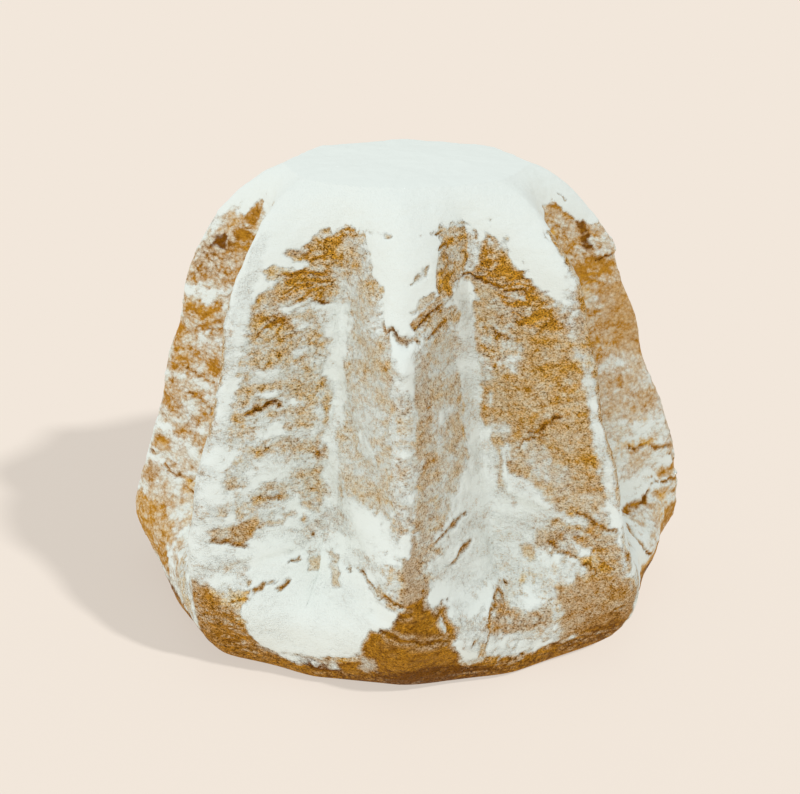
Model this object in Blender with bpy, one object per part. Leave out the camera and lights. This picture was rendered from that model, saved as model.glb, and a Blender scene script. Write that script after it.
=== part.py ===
"""Pandoro: a tall star-shaped sweet loaf, eight ridges round, standing on its wide end.

The loaf is one solid piece of crumb inside a thin crust, so it is one closed body.
Its surface is a loft: rings of points that climb from the flat base, over a rounded
collar and up steep flutes, to a sloping shoulder and a nearly flat top. Each ring is an
eight-pointed star whose flanks are straight between a ridge and the valley beside it.
"""

import math

import bmesh
import bpy
import numpy as np

MM = 0.001

# --- Driving sizes, in millimetres -------------------------------------------------

RIDGES = 8

# The side of the loaf at a ridge and at a valley, from the base up. Each row is one
# station: share of the way up, ridge radius, ridge height, valley radius, valley height.
STATIONS = {
    "base edge":    (0.00, 84.5, 0.0, 83.0, 0.0),
    "base round":   (0.05, 95.5, 1.6, 94.5, 1.8),
    "collar low":   (0.11, 104.5, 9.8, 97.0, 9.8),
    "widest":       (0.19, 112.0, 26.0, 95.5, 22.5),
    "ledge":        (0.30, 110.5, 48.0, 78.5, 35.5),
    "flank low":    (0.45, 100.5, 80.0, 66.5, 78.0),
    "flank high":   (0.66, 85.5, 127.0, 54.0, 127.0),
    "shoulder":     (0.74, 80.3, 137.6, 52.0, 137.6),
    "slope":        (0.86, 64.5, 154.0, 50.0, 153.0),
    "upper slope":  (0.94, 54.0, 161.0, 47.5, 160.0),
    "rim":          (1.00, 45.5, 164.6, 43.0, 164.4),
}

TOP_CROWN = 1.6          # the middle of the top stands this much above its rim

RIDGE_ROUNDING = 2.2     # degrees of azimuth over which a ridge line is rounded
VALLEY_ROUNDING = 3.0    # the same for a valley line
ROUNDING_PULL = 0.35     # share of that rounding taken off the line itself

# No two ridges bake alike. For the ridges at 0, 45, ... 315 degrees (0 is the front, -Y,
# and 90 is +X): how far each one stands off its true bearing, how many degrees it leans
# sideways between base and top, and its size against the profile.
RIDGE_OFFSET = (-0.5, 2.4, 0.0, 0.0, 0.0, 0.0, 0.0, 0.5)
RIDGE_LEAN = (-1.3, -0.8, -2.5, 0.0, 0.0, 1.2, 3.0, -9.5)
RIDGE_SIZE = (0.968, 0.997, 1.004, 1.0, 1.0, 1.0, 0.992, 1.012)
LEAN_PIVOT = 0.45        # share of the way up where the leaning ridges stand true

# Swellings and hollows of crust and packed sugar: bearing in degrees, height, reach in
# degrees, reach in height, rise (a hollow where it is negative).
SWELLINGS = {
    "drift at the front left foot":   (-25.0, 36.0, 11.0, 15.0, 3.4),
    "drift at the front right foot":  (18.0, 44.0, 8.0, 18.0, 1.6),
    "drift at the right foot":        (66.0, 42.0, 9.0, 16.0, 2.0),
    "drift at the back foot":         (158.0, 38.0, 10.0, 14.0, 2.6),
    "drift at the back left foot":    (-112.0, 38.0, 9.0, 15.0, 2.4),
    "drift at the back right foot":   (112.0, 38.0, 10.0, 13.0, 1.8),
    "front ridge tongue":             (-1.0, 118.0, 6.0, 8.0, 1.4),
    "hollow under the tongue":        (2.0, 103.0, 6.0, 6.0, -1.2),
    "left flank swelling":            (-38.0, 70.0, 8.0, 14.0, 1.2),
    "left flank hollow":              (-31.0, 96.0, 6.0, 8.0, -1.4),
    "right flank swelling":           (36.0, 84.0, 8.0, 16.0, 1.2),
    "right flank hollow":             (30.0, 48.0, 6.0, 8.0, -1.6),
    "front ridge foot":               (4.0, 22.0, 8.0, 7.0, 1.2),
    "back flank hollow":              (-150.0, 74.0, 8.0, 16.0, -1.4),
    "back flank swelling":            (142.0, 88.0, 8.0, 14.0, 1.4),
}

# Crust folds: low steps that run round the loaf, each one a rise with a sharper lower
# edge. Bearing, height, reach in degrees, reach in height, rise, and how much the fold
# climbs for each degree of bearing.
FOLDS = {
    "left face, high":    (-58.0, 118.0, 8.0, 5.0, 1.1, -0.5),
    "left face, middle":  (-60.0, 96.0, 9.0, 5.0, 1.5, -0.7),
    "left face, low":     (-60.0, 74.0, 9.0, 5.0, 1.5, -0.8),
    "left face, foot":    (-58.0, 56.0, 9.0, 5.0, 1.3, -0.8),
    "front left":         (-36.0, 44.0, 7.0, 5.0, 1.2, 0.3),
    "front right":        (12.0, 132.0, 7.0, 4.0, 1.2, 0.4),
    "right of front":     (32.0, 60.0, 8.0, 5.0, 1.3, -0.6),
    "right face, middle": (60.0, 82.0, 9.0, 5.0, 1.4, 0.7),
    "right face, low":    (62.0, 58.0, 9.0, 5.0, 1.6, 0.6),
    "back right":         (125.0, 70.0, 10.0, 5.0, 1.3, 0.3),
    "back":               (175.0, 92.0, 10.0, 5.0, 1.2, -0.3),
    "back left":          (-130.0, 64.0, 10.0, 5.0, 1.4, 0.4),
}

# Slow waves that keep any face from being true: turns round the loaf, millimetres of
# height for one wave, phase, rise.
WAVES = (
    (3, 150.0, 0.4, 0.7),
    (5, 96.0, 2.1, 0.6),
    (11, 61.0, 4.0, 0.5),
    (17, 37.0, 1.3, 0.4),
    (23, 29.0, 5.2, 0.35),
)
RELIEF_FADE = 14.0       # height over which the relief grows from nothing at the base
RIM_FADE = 26.0          # height over which it dies away again below the rim
TOP_UNEVENNESS = 0.5     # rise and fall of the sugared top

# --- How finely the surface is cut --------------------------------------------------

STEPS_PER_FLANK = 7      # facets between a ridge and a valley
SIDE_ROWS = 32           # rows of facets from the base edge to the rim
TOP_RINGS = 4            # rings of facets across the top

CRUST_COLOUR = (0.66, 0.52, 0.36, 1.0)
CRUST_ROUGHNESS = 0.9


def monotone_curve(xs, ys):
    """A smooth curve through the stations that never overshoots between two of them."""
    xs = np.array(xs, dtype=float)
    ys = np.array(ys, dtype=float)
    gaps = np.diff(xs)
    slopes = np.diff(ys) / gaps
    tangents = np.zeros(len(xs))
    tangents[0] = slopes[0]
    tangents[-1] = slopes[-1]
    for i in range(1, len(xs) - 1):
        if slopes[i - 1] * slopes[i] > 0:
            before = 2 * gaps[i] + gaps[i - 1]
            after = gaps[i] + 2 * gaps[i - 1]
            tangents[i] = (before + after) / (before / slopes[i - 1] + after / slopes[i])

    def curve(x):
        i = min(max(int(np.searchsorted(xs, x, side="right")) - 1, 0), len(gaps) - 1)
        s = (x - xs[i]) / gaps[i]
        start = (1 + 2 * s) * (1 - s) ** 2 * ys[i] + s * (1 - s) ** 2 * gaps[i] * tangents[i]
        end = s * s * (3 - 2 * s) * ys[i + 1] + s * s * (s - 1) * gaps[i] * tangents[i + 1]
        return start + end

    return curve


COLUMNS = list(zip(*STATIONS.values()))
RIDGE_RADIUS = monotone_curve(COLUMNS[0], COLUMNS[1])
RIDGE_HEIGHT = monotone_curve(COLUMNS[0], COLUMNS[2])
VALLEY_RADIUS = monotone_curve(COLUMNS[0], COLUMNS[3])
VALLEY_HEIGHT = monotone_curve(COLUMNS[0], COLUMNS[4])


def per_ridge(values, bearing):
    """Blend a value given for each ridge to a bearing between two ridges."""
    place = (bearing % 360.0) / (360.0 / RIDGES)
    first = int(place) % RIDGES
    blend = place - int(place)
    return values[first] * (1 - blend) + values[(first + 1) % RIDGES] * blend


def turn_from_ridge(bearing):
    """Angle to the nearest ridge, in degrees, with both ridge and valley line rounded."""
    half = 180.0 / RIDGES
    turn = abs((bearing + half) % (2 * half) - half)
    turn = math.hypot(turn, RIDGE_ROUNDING) - RIDGE_ROUNDING * ROUNDING_PULL
    turn = half - (math.hypot(half - turn, VALLEY_ROUNDING) - VALLEY_ROUNDING * ROUNDING_PULL)
    return min(max(turn, 0.0), half)


def smooth_side(bearing, share):
    """A point of the side without relief, for a bearing and a share of the way up."""
    half = math.radians(180.0 / RIDGES)
    turn = math.radians(turn_from_ridge(bearing))
    size = per_ridge(RIDGE_SIZE, bearing)
    ridge = RIDGE_RADIUS(share) * size
    valley = VALLEY_RADIUS(share) * size
    straight = ridge * math.sin(turn) + valley * math.sin(half - turn)
    radius = ridge * valley * math.sin(half) / straight
    to_valley = turn / half
    height = RIDGE_HEIGHT(share) * (1 - to_valley) + VALLEY_HEIGHT(share) * to_valley
    lean = per_ridge(RIDGE_LEAN, bearing) * (share - LEAN_PIVOT)
    angle = math.radians(bearing + per_ridge(RIDGE_OFFSET, bearing) + lean)
    return np.array((radius * math.sin(angle), -radius * math.cos(angle), height))


def bell(x):
    """One at zero, falling smoothly to nothing about two reaches away."""
    return math.exp(-x * x)


def bearing_gap(a, b):
    """Signed difference between two bearings, from -180 to 180 degrees."""
    return (a - b + 180.0) % 360.0 - 180.0


def relief(bearing, height):
    """How far the crust stands proud of the smooth side, in millimetres."""
    rise = 0.0
    for where, level, reach, tall, amount in SWELLINGS.values():
        rise += amount * bell(bearing_gap(bearing, where) / reach) * bell((height - level) / tall)
    for where, level, reach, tall, amount, climb in FOLDS.values():
        across = bearing_gap(bearing, where)
        above = height - level - climb * across
        below_edge = tall / 3 if above < 0 else tall
        rise += amount * bell(across / reach) * bell(above / below_edge)
    for turns, wave, phase, amount in WAVES:
        rise += amount * math.sin(math.radians(turns * bearing) + math.tau * height / wave + phase)
    below_rim = STATIONS["rim"][2] - height
    return rise * min(height / RELIEF_FADE, 1.0) * min(max(below_rim / RIM_FADE, 0.0), 1.0)


def side_point(bearing, share):
    """A point of the finished side: the smooth point moved outwards by the relief."""
    nudge = 0.01
    point = smooth_side(bearing, share)
    round_loaf = smooth_side(bearing + nudge, share) - smooth_side(bearing - nudge, share)
    above = smooth_side(bearing, min(share + nudge, 1.0))
    below = smooth_side(bearing, max(share - nudge, 0.0))
    outwards = np.cross(round_loaf, above - below)
    outwards /= np.linalg.norm(outwards)
    if share == 0.0:
        return point
    return point + outwards * relief(bearing, point[2])


def ring_bearings():
    """Bearings of one ring's points, closer together at the ridges and the valleys."""
    half = 180.0 / RIDGES
    bearings = []
    for flank in range(2 * RIDGES):
        for step in range(STEPS_PER_FLANK):
            even = step / STEPS_PER_FLANK
            eased = (1 - math.cos(math.pi * even)) / 2
            bearings.append((flank + (even + eased) / 2) * half)
    return bearings


def top_point(rim_point, share_in):
    """A point of the top between the rim (0) and the middle (1)."""
    keep = 1 - share_in
    x = rim_point[0] * keep
    y = rim_point[1] * keep
    middle = STATIONS["rim"][2] + TOP_CROWN
    crown = rim_point[2] * keep ** 2 + middle * (1 - keep ** 2)
    uneven = TOP_UNEVENNESS * math.sin(x / 11.0 + 0.6) * math.cos(y / 9.0 - 0.8)
    return np.array((x, y, crown + uneven * min(1.0, 3 * share_in)))


def loft_rings():
    """Every ring of the loaf from the base edge to the last one around the middle."""
    bearings = ring_bearings()
    rings = []
    for row in range(SIDE_ROWS + 1):
        share = row / SIDE_ROWS
        rings.append([side_point(bearing, share) for bearing in bearings])
    rim = rings[-1]
    for ring in range(1, TOP_RINGS):
        rings.append([top_point(point, ring / TOP_RINGS) for point in rim])
    return rings


def centred(rings):
    """The same rings with the middle of their box, seen from above, on the Z axis."""
    points = np.array(rings)
    low = points.min(axis=(0, 1))
    high = points.max(axis=(0, 1))
    middle = (low + high) / 2
    return points - np.array((middle[0], middle[1], 0.0))


def build_mesh():
    """The closed skin: side, top and flat base."""
    rings = centred(loft_rings())
    mesh = bmesh.new()
    rows = [[mesh.verts.new(point * MM) for point in ring] for ring in rings]
    around = len(rows[0])
    for lower, upper in zip(rows, rows[1:]):
        for i in range(around):
            j = (i + 1) % around
            mesh.faces.new((lower[i], lower[j], upper[j], upper[i]))
    top = mesh.verts.new(top_point(rings[-1].mean(axis=0), 1.0) * MM)
    base = mesh.verts.new((0.0, 0.0, 0.0))
    for i in range(around):
        j = (i + 1) % around
        mesh.faces.new((rows[-1][i], rows[-1][j], top))
        mesh.faces.new((rows[0][j], rows[0][i], base))
    bmesh.ops.triangulate(mesh, faces=mesh.faces, quad_method="SHORT_EDGE")
    bmesh.ops.recalc_face_normals(mesh, faces=mesh.faces)
    skin = bpy.data.meshes.new("pandoro")
    mesh.to_mesh(skin)
    mesh.free()
    return skin


def crust_material():
    """Baked crust under a dusting of sugar: pale brown, with no shine."""
    material = bpy.data.materials.new("sugared_crust")
    material.use_nodes = True
    shader = material.node_tree.nodes["Principled BSDF"]
    shader.inputs["Base Color"].default_value = CRUST_COLOUR
    shader.inputs["Roughness"].default_value = CRUST_ROUGHNESS
    shader.inputs["Metallic"].default_value = 0.0
    return material


def main():
    for thing in list(bpy.data.objects):
        bpy.data.objects.remove(thing, do_unlink=True)
    skin = build_mesh()
    skin.materials.append(crust_material())
    loaf = bpy.data.objects.new("pandoro", skin)
    bpy.context.scene.collection.objects.link(loaf)


main()
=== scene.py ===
# %% [markdown]
# # A pandoro under its sugar
# A pandoro is a tall sweet loaf baked in a deep star-shaped tin and turned out upside down.
# It is one piece of golden crumb with a thin brown crust, and it is served under a thick
# shake of vanilla sugar. This lesson models the loaf as one dense mesh, because crust and
# sugar are both relief on the same surface, and then gives it one material that knows from
# four painted fields where sugar lies, how dark the crust has baked together with the shade
# painted into it, and how scaly and how gritty it is.
#
# The packed model comes first. It fixes where the loaf stands.

# %% The frame
import itertools
import math

import bpy
import numpy as np
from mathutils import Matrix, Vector


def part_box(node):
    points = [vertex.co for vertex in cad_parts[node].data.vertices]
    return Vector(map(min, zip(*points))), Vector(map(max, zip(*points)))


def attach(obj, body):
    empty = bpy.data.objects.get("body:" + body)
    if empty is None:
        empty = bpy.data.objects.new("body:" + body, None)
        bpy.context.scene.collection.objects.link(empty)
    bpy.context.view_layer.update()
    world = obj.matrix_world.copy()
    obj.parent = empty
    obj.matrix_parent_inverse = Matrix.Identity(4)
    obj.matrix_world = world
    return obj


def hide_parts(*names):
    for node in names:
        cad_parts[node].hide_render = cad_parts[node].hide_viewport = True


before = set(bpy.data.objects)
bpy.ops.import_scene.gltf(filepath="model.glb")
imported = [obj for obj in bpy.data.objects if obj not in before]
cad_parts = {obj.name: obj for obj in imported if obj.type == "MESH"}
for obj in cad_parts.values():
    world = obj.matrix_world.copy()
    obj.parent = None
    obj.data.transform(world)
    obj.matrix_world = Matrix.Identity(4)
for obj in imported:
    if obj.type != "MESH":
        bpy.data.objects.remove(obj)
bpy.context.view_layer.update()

NODE_LOW, NODE_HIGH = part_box("pandoro")
MM = 0.001

# %% [markdown]
# ## The smooth side
# The tin gives the loaf its form: eight ridges and eight valleys, a rounded collar at the
# wide end, straight steep flutes, then a sloping shoulder and a nearly flat top. Each row
# below is one station up the side, with the radius and height of a ridge and of a valley.
# A monotone curve joins the stations, because an ordinary spline would bulge between them.

# %% Stations
RIDGES = 8
HALF_FLUTE = 180.0 / RIDGES

# share of the way up, ridge radius, ridge height, valley radius, valley height, in mm
STATIONS = {
    "base edge":    (0.00, 84.5, 0.0, 83.0, 0.0),
    "base round":   (0.05, 95.5, 1.6, 94.5, 1.8),
    "collar low":   (0.11, 104.5, 9.8, 97.0, 9.8),
    "widest":       (0.19, 112.0, 26.0, 95.5, 22.5),
    "ledge":        (0.30, 110.5, 48.0, 78.5, 35.5),
    "flank low":    (0.45, 100.5, 80.0, 66.5, 78.0),
    "flank high":   (0.66, 85.5, 127.0, 54.0, 127.0),
    "shoulder":     (0.74, 80.3, 137.6, 52.0, 137.6),
    "slope":        (0.86, 64.5, 154.0, 50.0, 153.0),
    "upper slope":  (0.94, 54.0, 161.0, 47.5, 160.0),
    "rim":          (1.00, 45.5, 164.6, 43.0, 164.4),
}
RIM_HEIGHT = STATIONS["rim"][2]


def monotone_curve(xs, ys):
    """A smooth curve through the stations that never overshoots between two of them."""
    xs = np.array(xs)
    ys = np.array(ys)
    gaps = np.diff(xs)
    slopes = np.diff(ys) / gaps
    tangents = np.zeros(len(xs))
    tangents[0] = slopes[0]
    tangents[-1] = slopes[-1]
    for i in range(1, len(xs) - 1):
        if slopes[i - 1] * slopes[i] > 0:
            before = 2 * gaps[i] + gaps[i - 1]
            after = gaps[i] + 2 * gaps[i - 1]
            tangents[i] = (before + after) / (before / slopes[i - 1] + after / slopes[i])

    def curve(x):
        i = np.clip(np.searchsorted(xs, x, side="right") - 1, 0, len(gaps) - 1)
        s = (x - xs[i]) / gaps[i]
        start = (1 + 2 * s) * (1 - s) ** 2 * ys[i] + s * (1 - s) ** 2 * gaps[i] * tangents[i]
        end = s * s * (3 - 2 * s) * ys[i + 1] + s * s * (s - 1) * gaps[i] * tangents[i + 1]
        return start + end

    return curve


SHARES, RIDGE_RADII, RIDGE_HEIGHTS, VALLEY_RADII, VALLEY_HEIGHTS = zip(*STATIONS.values())
ridge_radius = monotone_curve(SHARES, RIDGE_RADII)
ridge_height = monotone_curve(SHARES, RIDGE_HEIGHTS)
valley_radius = monotone_curve(SHARES, VALLEY_RADII)
valley_height = monotone_curve(SHARES, VALLEY_HEIGHTS)
print("half way up, a ridge stands", round(float(ridge_radius(0.5)), 1), "mm from the axis")

# %% [markdown]
# No two ridges bake alike. Some stand off their true bearing, some lean sideways as they
# climb, and one is a little small. Bearing 0 is the front (-Y) and 90 is the right (+X).

# %% The star
RIDGE_ROUNDING = 2.2     # degrees over which a ridge line is rounded
VALLEY_ROUNDING = 3.0
ROUNDING_PULL = 0.35     # share of that rounding taken off the line itself
LEAN_PIVOT = 0.45        # share of the way up where a leaning ridge stands true
RIDGE_OFFSET = (-0.5, 2.4, 0.0, 0.0, 0.0, 0.0, 0.0, 0.5)
RIDGE_LEAN = (-1.3, -0.8, -2.5, 0.0, 0.0, 1.2, 3.0, -9.5)
RIDGE_SIZE = (0.968, 0.997, 1.004, 1.0, 1.0, 1.0, 0.992, 1.012)


def per_ridge(values, bearing):
    """Blend a value given for each ridge to the bearings between two ridges."""
    ring = np.array(values + values[:1])
    return np.interp(bearing % 360.0, np.arange(RIDGES + 1) * 2 * HALF_FLUTE, ring)


def turn_from_ridge(bearing):
    """Angle to the nearest ridge, with both the ridge and the valley line rounded."""
    turn = np.abs((bearing + HALF_FLUTE) % (2 * HALF_FLUTE) - HALF_FLUTE)
    turn = np.hypot(turn, RIDGE_ROUNDING) - RIDGE_ROUNDING * ROUNDING_PULL
    left = HALF_FLUTE - turn
    turn = HALF_FLUTE - (np.hypot(left, VALLEY_ROUNDING) - VALLEY_ROUNDING * ROUNDING_PULL)
    return np.clip(turn, 0.0, HALF_FLUTE)


def smooth_side(bearing, share):
    """Points of the side without relief, in mm."""
    half = math.radians(HALF_FLUTE)
    turn = np.radians(turn_from_ridge(bearing))
    size = per_ridge(RIDGE_SIZE, bearing)
    ridge = ridge_radius(share) * size
    valley = valley_radius(share) * size
    straight = ridge * np.sin(turn) + valley * np.sin(half - turn)
    radius = ridge * valley * math.sin(half) / straight
    to_valley = turn / half
    height = ridge_height(share) * (1 - to_valley) + valley_height(share) * to_valley
    lean = per_ridge(RIDGE_LEAN, bearing) * (share - LEAN_PIVOT)
    angle = np.radians(bearing + per_ridge(RIDGE_OFFSET, bearing) + lean)
    return np.stack((radius * np.sin(angle), -radius * np.cos(angle), height), axis=-1)


# %% The grid of the side
COLUMNS = 1024           # a power of two, so that the top can halve it ring by ring
ROWS = 264
BEARING, SHARE = np.meshgrid(
    np.arange(COLUMNS) * 360.0 / COLUMNS, np.linspace(0.0, 1.0, ROWS + 1)
)
SMOOTH = smooth_side(BEARING, SHARE)
HEIGHT = SMOOTH[..., 2]
SIGNED = (BEARING + 180.0) % 360.0 - 180.0


def outward(points):
    """Unit normals of a grid of points that runs round the loaf and up it."""
    across = np.roll(points, -1, axis=1) - np.roll(points, 1, axis=1)
    upward = np.gradient(points, axis=0)
    normal = np.cross(across, upward)
    return normal / np.linalg.norm(normal, axis=-1, keepdims=True)


print("side grid:", BEARING.shape, "points")

# %% [markdown]
# ## Large relief
# Drifts of packed sugar at the feet, hollows on the flanks and a few folds of crust. The
# solid model has the same ones. Each is a bell-shaped rise, and a fold is a bell whose
# lower side falls off sooner than its upper side.

# %% Swellings, folds and waves
# bearing in degrees, height, reach in degrees, reach in height, rise (mm)
SWELLINGS = {
    "drift at the front left foot":   (-25.0, 36.0, 11.0, 15.0, 3.4),
    "drift at the front right foot":  (18.0, 44.0, 8.0, 18.0, 1.6),
    "drift at the right foot":        (66.0, 42.0, 9.0, 16.0, 2.0),
    "drift at the back foot":         (158.0, 38.0, 10.0, 14.0, 2.6),
    "drift at the back left foot":    (-112.0, 38.0, 9.0, 15.0, 2.4),
    "drift at the back right foot":   (112.0, 38.0, 10.0, 13.0, 1.8),
    "front ridge tongue":             (-1.0, 118.0, 6.0, 8.0, 1.4),
    "hollow under the tongue":        (2.0, 103.0, 6.0, 6.0, -1.2),
    "left flank swelling":            (-38.0, 70.0, 8.0, 14.0, 1.2),
    "left flank hollow":              (-31.0, 96.0, 6.0, 8.0, -1.4),
    "right flank swelling":           (36.0, 84.0, 8.0, 16.0, 1.2),
    "right flank hollow":             (30.0, 48.0, 6.0, 8.0, -1.6),
    "front ridge foot":               (4.0, 22.0, 8.0, 7.0, 1.2),
    "back flank hollow":              (-150.0, 74.0, 8.0, 16.0, -1.4),
    "back flank swelling":            (142.0, 88.0, 8.0, 14.0, 1.4),
}
# bearing, height, reach in degrees, reach in height, rise, climb in mm for each degree
FOLDS = {
    "left face, high":    (-58.0, 118.0, 8.0, 5.0, 1.1, -0.5),
    "left face, middle":  (-60.0, 96.0, 9.0, 5.0, 1.5, -0.7),
    "left face, low":     (-60.0, 74.0, 9.0, 5.0, 1.5, -0.8),
    "left face, foot":    (-58.0, 56.0, 9.0, 5.0, 1.3, -0.8),
    "front left":         (-36.0, 44.0, 7.0, 5.0, 1.2, 0.3),
    "front right":        (12.0, 132.0, 7.0, 4.0, 1.2, 0.4),
    "right of front":     (32.0, 60.0, 8.0, 5.0, 1.3, -0.6),
    "right face, middle": (60.0, 82.0, 9.0, 5.0, 1.4, 0.7),
    "right face, low":    (62.0, 58.0, 9.0, 5.0, 1.6, 0.6),
    "back right":         (125.0, 70.0, 10.0, 5.0, 1.3, 0.3),
    "back":               (175.0, 92.0, 10.0, 5.0, 1.2, -0.3),
    "back left":          (-130.0, 64.0, 10.0, 5.0, 1.4, 0.4),
}
# turns round the loaf, mm of height for one wave, phase, rise
WAVES = (
    (3, 150.0, 0.4, 0.7),
    (5, 96.0, 2.1, 0.6),
    (11, 61.0, 4.0, 0.5),
    (17, 37.0, 1.3, 0.4),
    (23, 29.0, 5.2, 0.35),
)
RELIEF_FADE = 14.0       # height over which the relief grows from nothing at the base
RIM_FADE = 26.0          # height over which it dies away again below the rim


def bell(x):
    return np.exp(-x * x)


def bearing_gap(bearing, where):
    """Signed difference between two bearings, from -180 to 180 degrees."""
    return (bearing - where + 180.0) % 360.0 - 180.0


def large_relief(bearing, height):
    """How far the crust stands proud of the smooth side, in mm."""
    rise = np.zeros_like(bearing)
    for where, level, reach, tall, amount in SWELLINGS.values():
        rise += amount * bell(bearing_gap(bearing, where) / reach) * bell((height - level) / tall)
    for where, level, reach, tall, amount, climb in FOLDS.values():
        across = bearing_gap(bearing, where)
        above = height - level - climb * across
        reach_up = np.where(above < 0, tall / 3, tall)
        rise += amount * bell(across / reach) * bell(above / reach_up)
    for turns, wave, phase, amount in WAVES:
        rise += amount * np.sin(np.radians(turns * bearing) + math.tau * height / wave + phase)
    fade_in = np.minimum(height / RELIEF_FADE, 1.0)
    fade_out = np.clip((RIM_HEIGHT - height) / RIM_FADE, 0.0, 1.0)
    return rise * fade_in * fade_out


FORM = SMOOTH + outward(SMOOTH) * large_relief(BEARING, HEIGHT)[..., None]
FORM[0] = SMOOTH[0]
FORM_NORMAL = outward(FORM)
print("large relief runs to", round(float(np.abs(FORM - SMOOTH).max()), 2), "mm")

# %% [markdown]
# ## Noise made by hand
# Crust and powder need unevenness at many sizes. Gradient noise gives it: a slope is drawn
# for every corner of a lattice and blended in between. It is worked out from the points in
# space, so it has no seam round the loaf, and flattening the lattice makes the wide low
# scales that the crust of a tall loaf has.

# %% Gradient noise
SLOPES = np.array([
    slope for slope in itertools.product((-1.0, 0.0, 1.0), repeat=3)
    if sum(abs(part) for part in slope) == 2
])
HASH_PRIMES = (73856093, 19349663, 83492791)
HASH_MIX = 1274126177
SEED_STEP = 2654435761   # keeps the draws of two seeds apart
WORD = 0xFFFFFFFF


def drawn(cell, seed):
    """A repeatable random whole number for each lattice corner."""
    word = (cell * np.array(HASH_PRIMES)).sum(axis=-1) + seed * SEED_STEP
    word &= WORD
    word ^= word >> 13
    word = (word * HASH_MIX) & WORD
    word ^= word >> 16
    word = (word * HASH_MIX) & WORD
    return word ^ (word >> 15)


def noise(points, seed):
    """Gradient noise, about -1 to 1, one lattice cell for each unit."""
    cell = np.floor(points).astype(np.int64)
    inside = points - cell
    fade = inside ** 3 * (inside * (inside * 6 - 15) + 10)
    total = np.zeros(points.shape[:-1])
    for corner in itertools.product((0, 1), repeat=3):
        slope = SLOPES[drawn(cell + corner, seed) % len(SLOPES)]
        weight = np.prod(np.where(corner, fade, 1 - fade), axis=-1)
        total += weight * ((inside - corner) * slope).sum(axis=-1)
    return total


def rough(size, seed, layers=3, flat=1.0):
    """Layered noise over the side, with its largest lumps size mm wide, flat times lower."""
    total = 0.0
    for layer in range(layers):
        scale = np.array((size, size, size * flat)) / 2 ** layer
        total = total + noise(SMOOTH / scale, seed + layer) / 2 ** layer
    return total


RAGGED = rough(7.0, 11, layers=4)
STREAKY = rough(16.0, 21, layers=4, flat=0.35)
PATCHY = rough(30.0, 31, layers=3, flat=0.7)
print("noise spans", round(float(RAGGED.min()), 2), "to", round(float(RAGGED.max()), 2))

# %% [markdown]
# ## Where sugar lies and how the crust has baked
# Sugar shaken from above stays on the top, on the shoulders, along the ridge lines and in
# the valleys, and it piles up in drifts at the feet. Steep flanks keep only a dusting, and
# the collar, which leans outwards, is bare. Two fields over the side hold this: `sugar`
# runs from 0, bare, to 1, buried, and the toast field from 0, pale gold, to 1, dark brown,
# and a little past it where the crust caught the heat. Further down, painted shade is added
# to the toast field too.

# %% The general rule
SHOULDER_STARTS = 140.0  # mm up the side
SHOULDER_FULL = 153.0
FOOT_FULL = 46.0
FOOT_ENDS = 68.0
COLLAR_FULL = 9.0
COLLAR_ENDS = 15.0
LEAST_SUGAR = 0.12       # cover on the flanks, between these two
MOST_SUGAR = 0.9
RIDGE_SUGAR = 0.80       # cover along the ridge lines
VALLEY_SUGAR = 0.85
COLLAR_SUGAR = 0.06
DARKEST = 1.3            # the most that toast, with its painted shade, can reach


def eased(low, high, x):
    """0 below low, 1 above high, smooth between."""
    t = np.clip((x - low) / (high - low), 0.0, 1.0)
    return t * t * (3 - 2 * t)


FLUTE_TURN = np.abs((BEARING + HALF_FLUTE) % (2 * HALF_FLUTE) - HALF_FLUTE)
on_ridge = 1 - eased(1.5, 5.5, FLUTE_TURN + 2.0 * RAGGED)
in_valley = eased(HALF_FLUTE - 7.0, HALF_FLUTE - 3.0, FLUTE_TURN + 2.5 * RAGGED)
ragged_height = HEIGHT + 8.0 * RAGGED + 4.0 * on_ridge + 4.0 * in_valley
shoulder = eased(SHOULDER_STARTS, SHOULDER_FULL, ragged_height)
foot = 1 - eased(FOOT_FULL, FOOT_ENDS, HEIGHT + 16.0 * PATCHY)
collar = 1 - eased(COLLAR_FULL, COLLAR_ENDS, HEIGHT + 5.0 * PATCHY + 2.0 * RAGGED)

sugar = 0.45 + 0.35 * STREAKY + 0.25 * PATCHY
sugar = np.clip(sugar, LEAST_SUGAR, MOST_SUGAR)
sugar = np.maximum(sugar, RIDGE_SUGAR * on_ridge)
sugar = np.maximum(sugar, VALLEY_SUGAR * in_valley)
sugar = np.maximum(sugar, foot * np.clip(0.78 + 0.5 * PATCHY + 0.3 * STREAKY, 0.0, 1.0))
sugar = np.maximum(sugar, shoulder)
sugar = sugar * (1 - collar) + COLLAR_SUGAR * collar
# the collar gets more toast: its own darker crust and painted shade under its curve
toast_and_shade = np.clip(0.45 + 0.4 * PATCHY + 0.3 * STREAKY + 0.5 * collar, 0.0, DARKEST)
print("share of the side under sugar:", round(float((sugar > 0.5).mean()), 2))

# %% [markdown]
# The rule makes a loaf, but not this one. The patches that catch the eye are painted next,
# each an outline of a few points in bearing and height, in the order they lie: the last
# one covers the earlier ones. Noise frays their edges. A patch can also stand proud of the
# crust round it, and set how scaly it is: that is the third field, `rugged`.

# %% The painter's grid
SPREAD = 1.9             # mm along the crust for each degree of bearing, near enough
BEND = 1.3               # mm that noise bends the painted outlines
RUGGED_AT_FIRST = 0.7
FRAY_FINE = rough(2.6, 41, layers=2)
ACROSS = SIGNED * SPREAD + BEND * (rough(9.0, 43) + 0.4 * rough(3.0, 45, layers=2))
LEVEL = HEIGHT + BEND * (rough(9.0, 47) + 0.4 * rough(3.0, 49, layers=2))
relief = np.zeros_like(HEIGHT)
rugged = np.full_like(HEIGHT, RUGGED_AT_FIRST)
print("painted bearings run from", round(ACROSS.min()), "to", round(ACROSS.max()), "mm along the crust")

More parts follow.
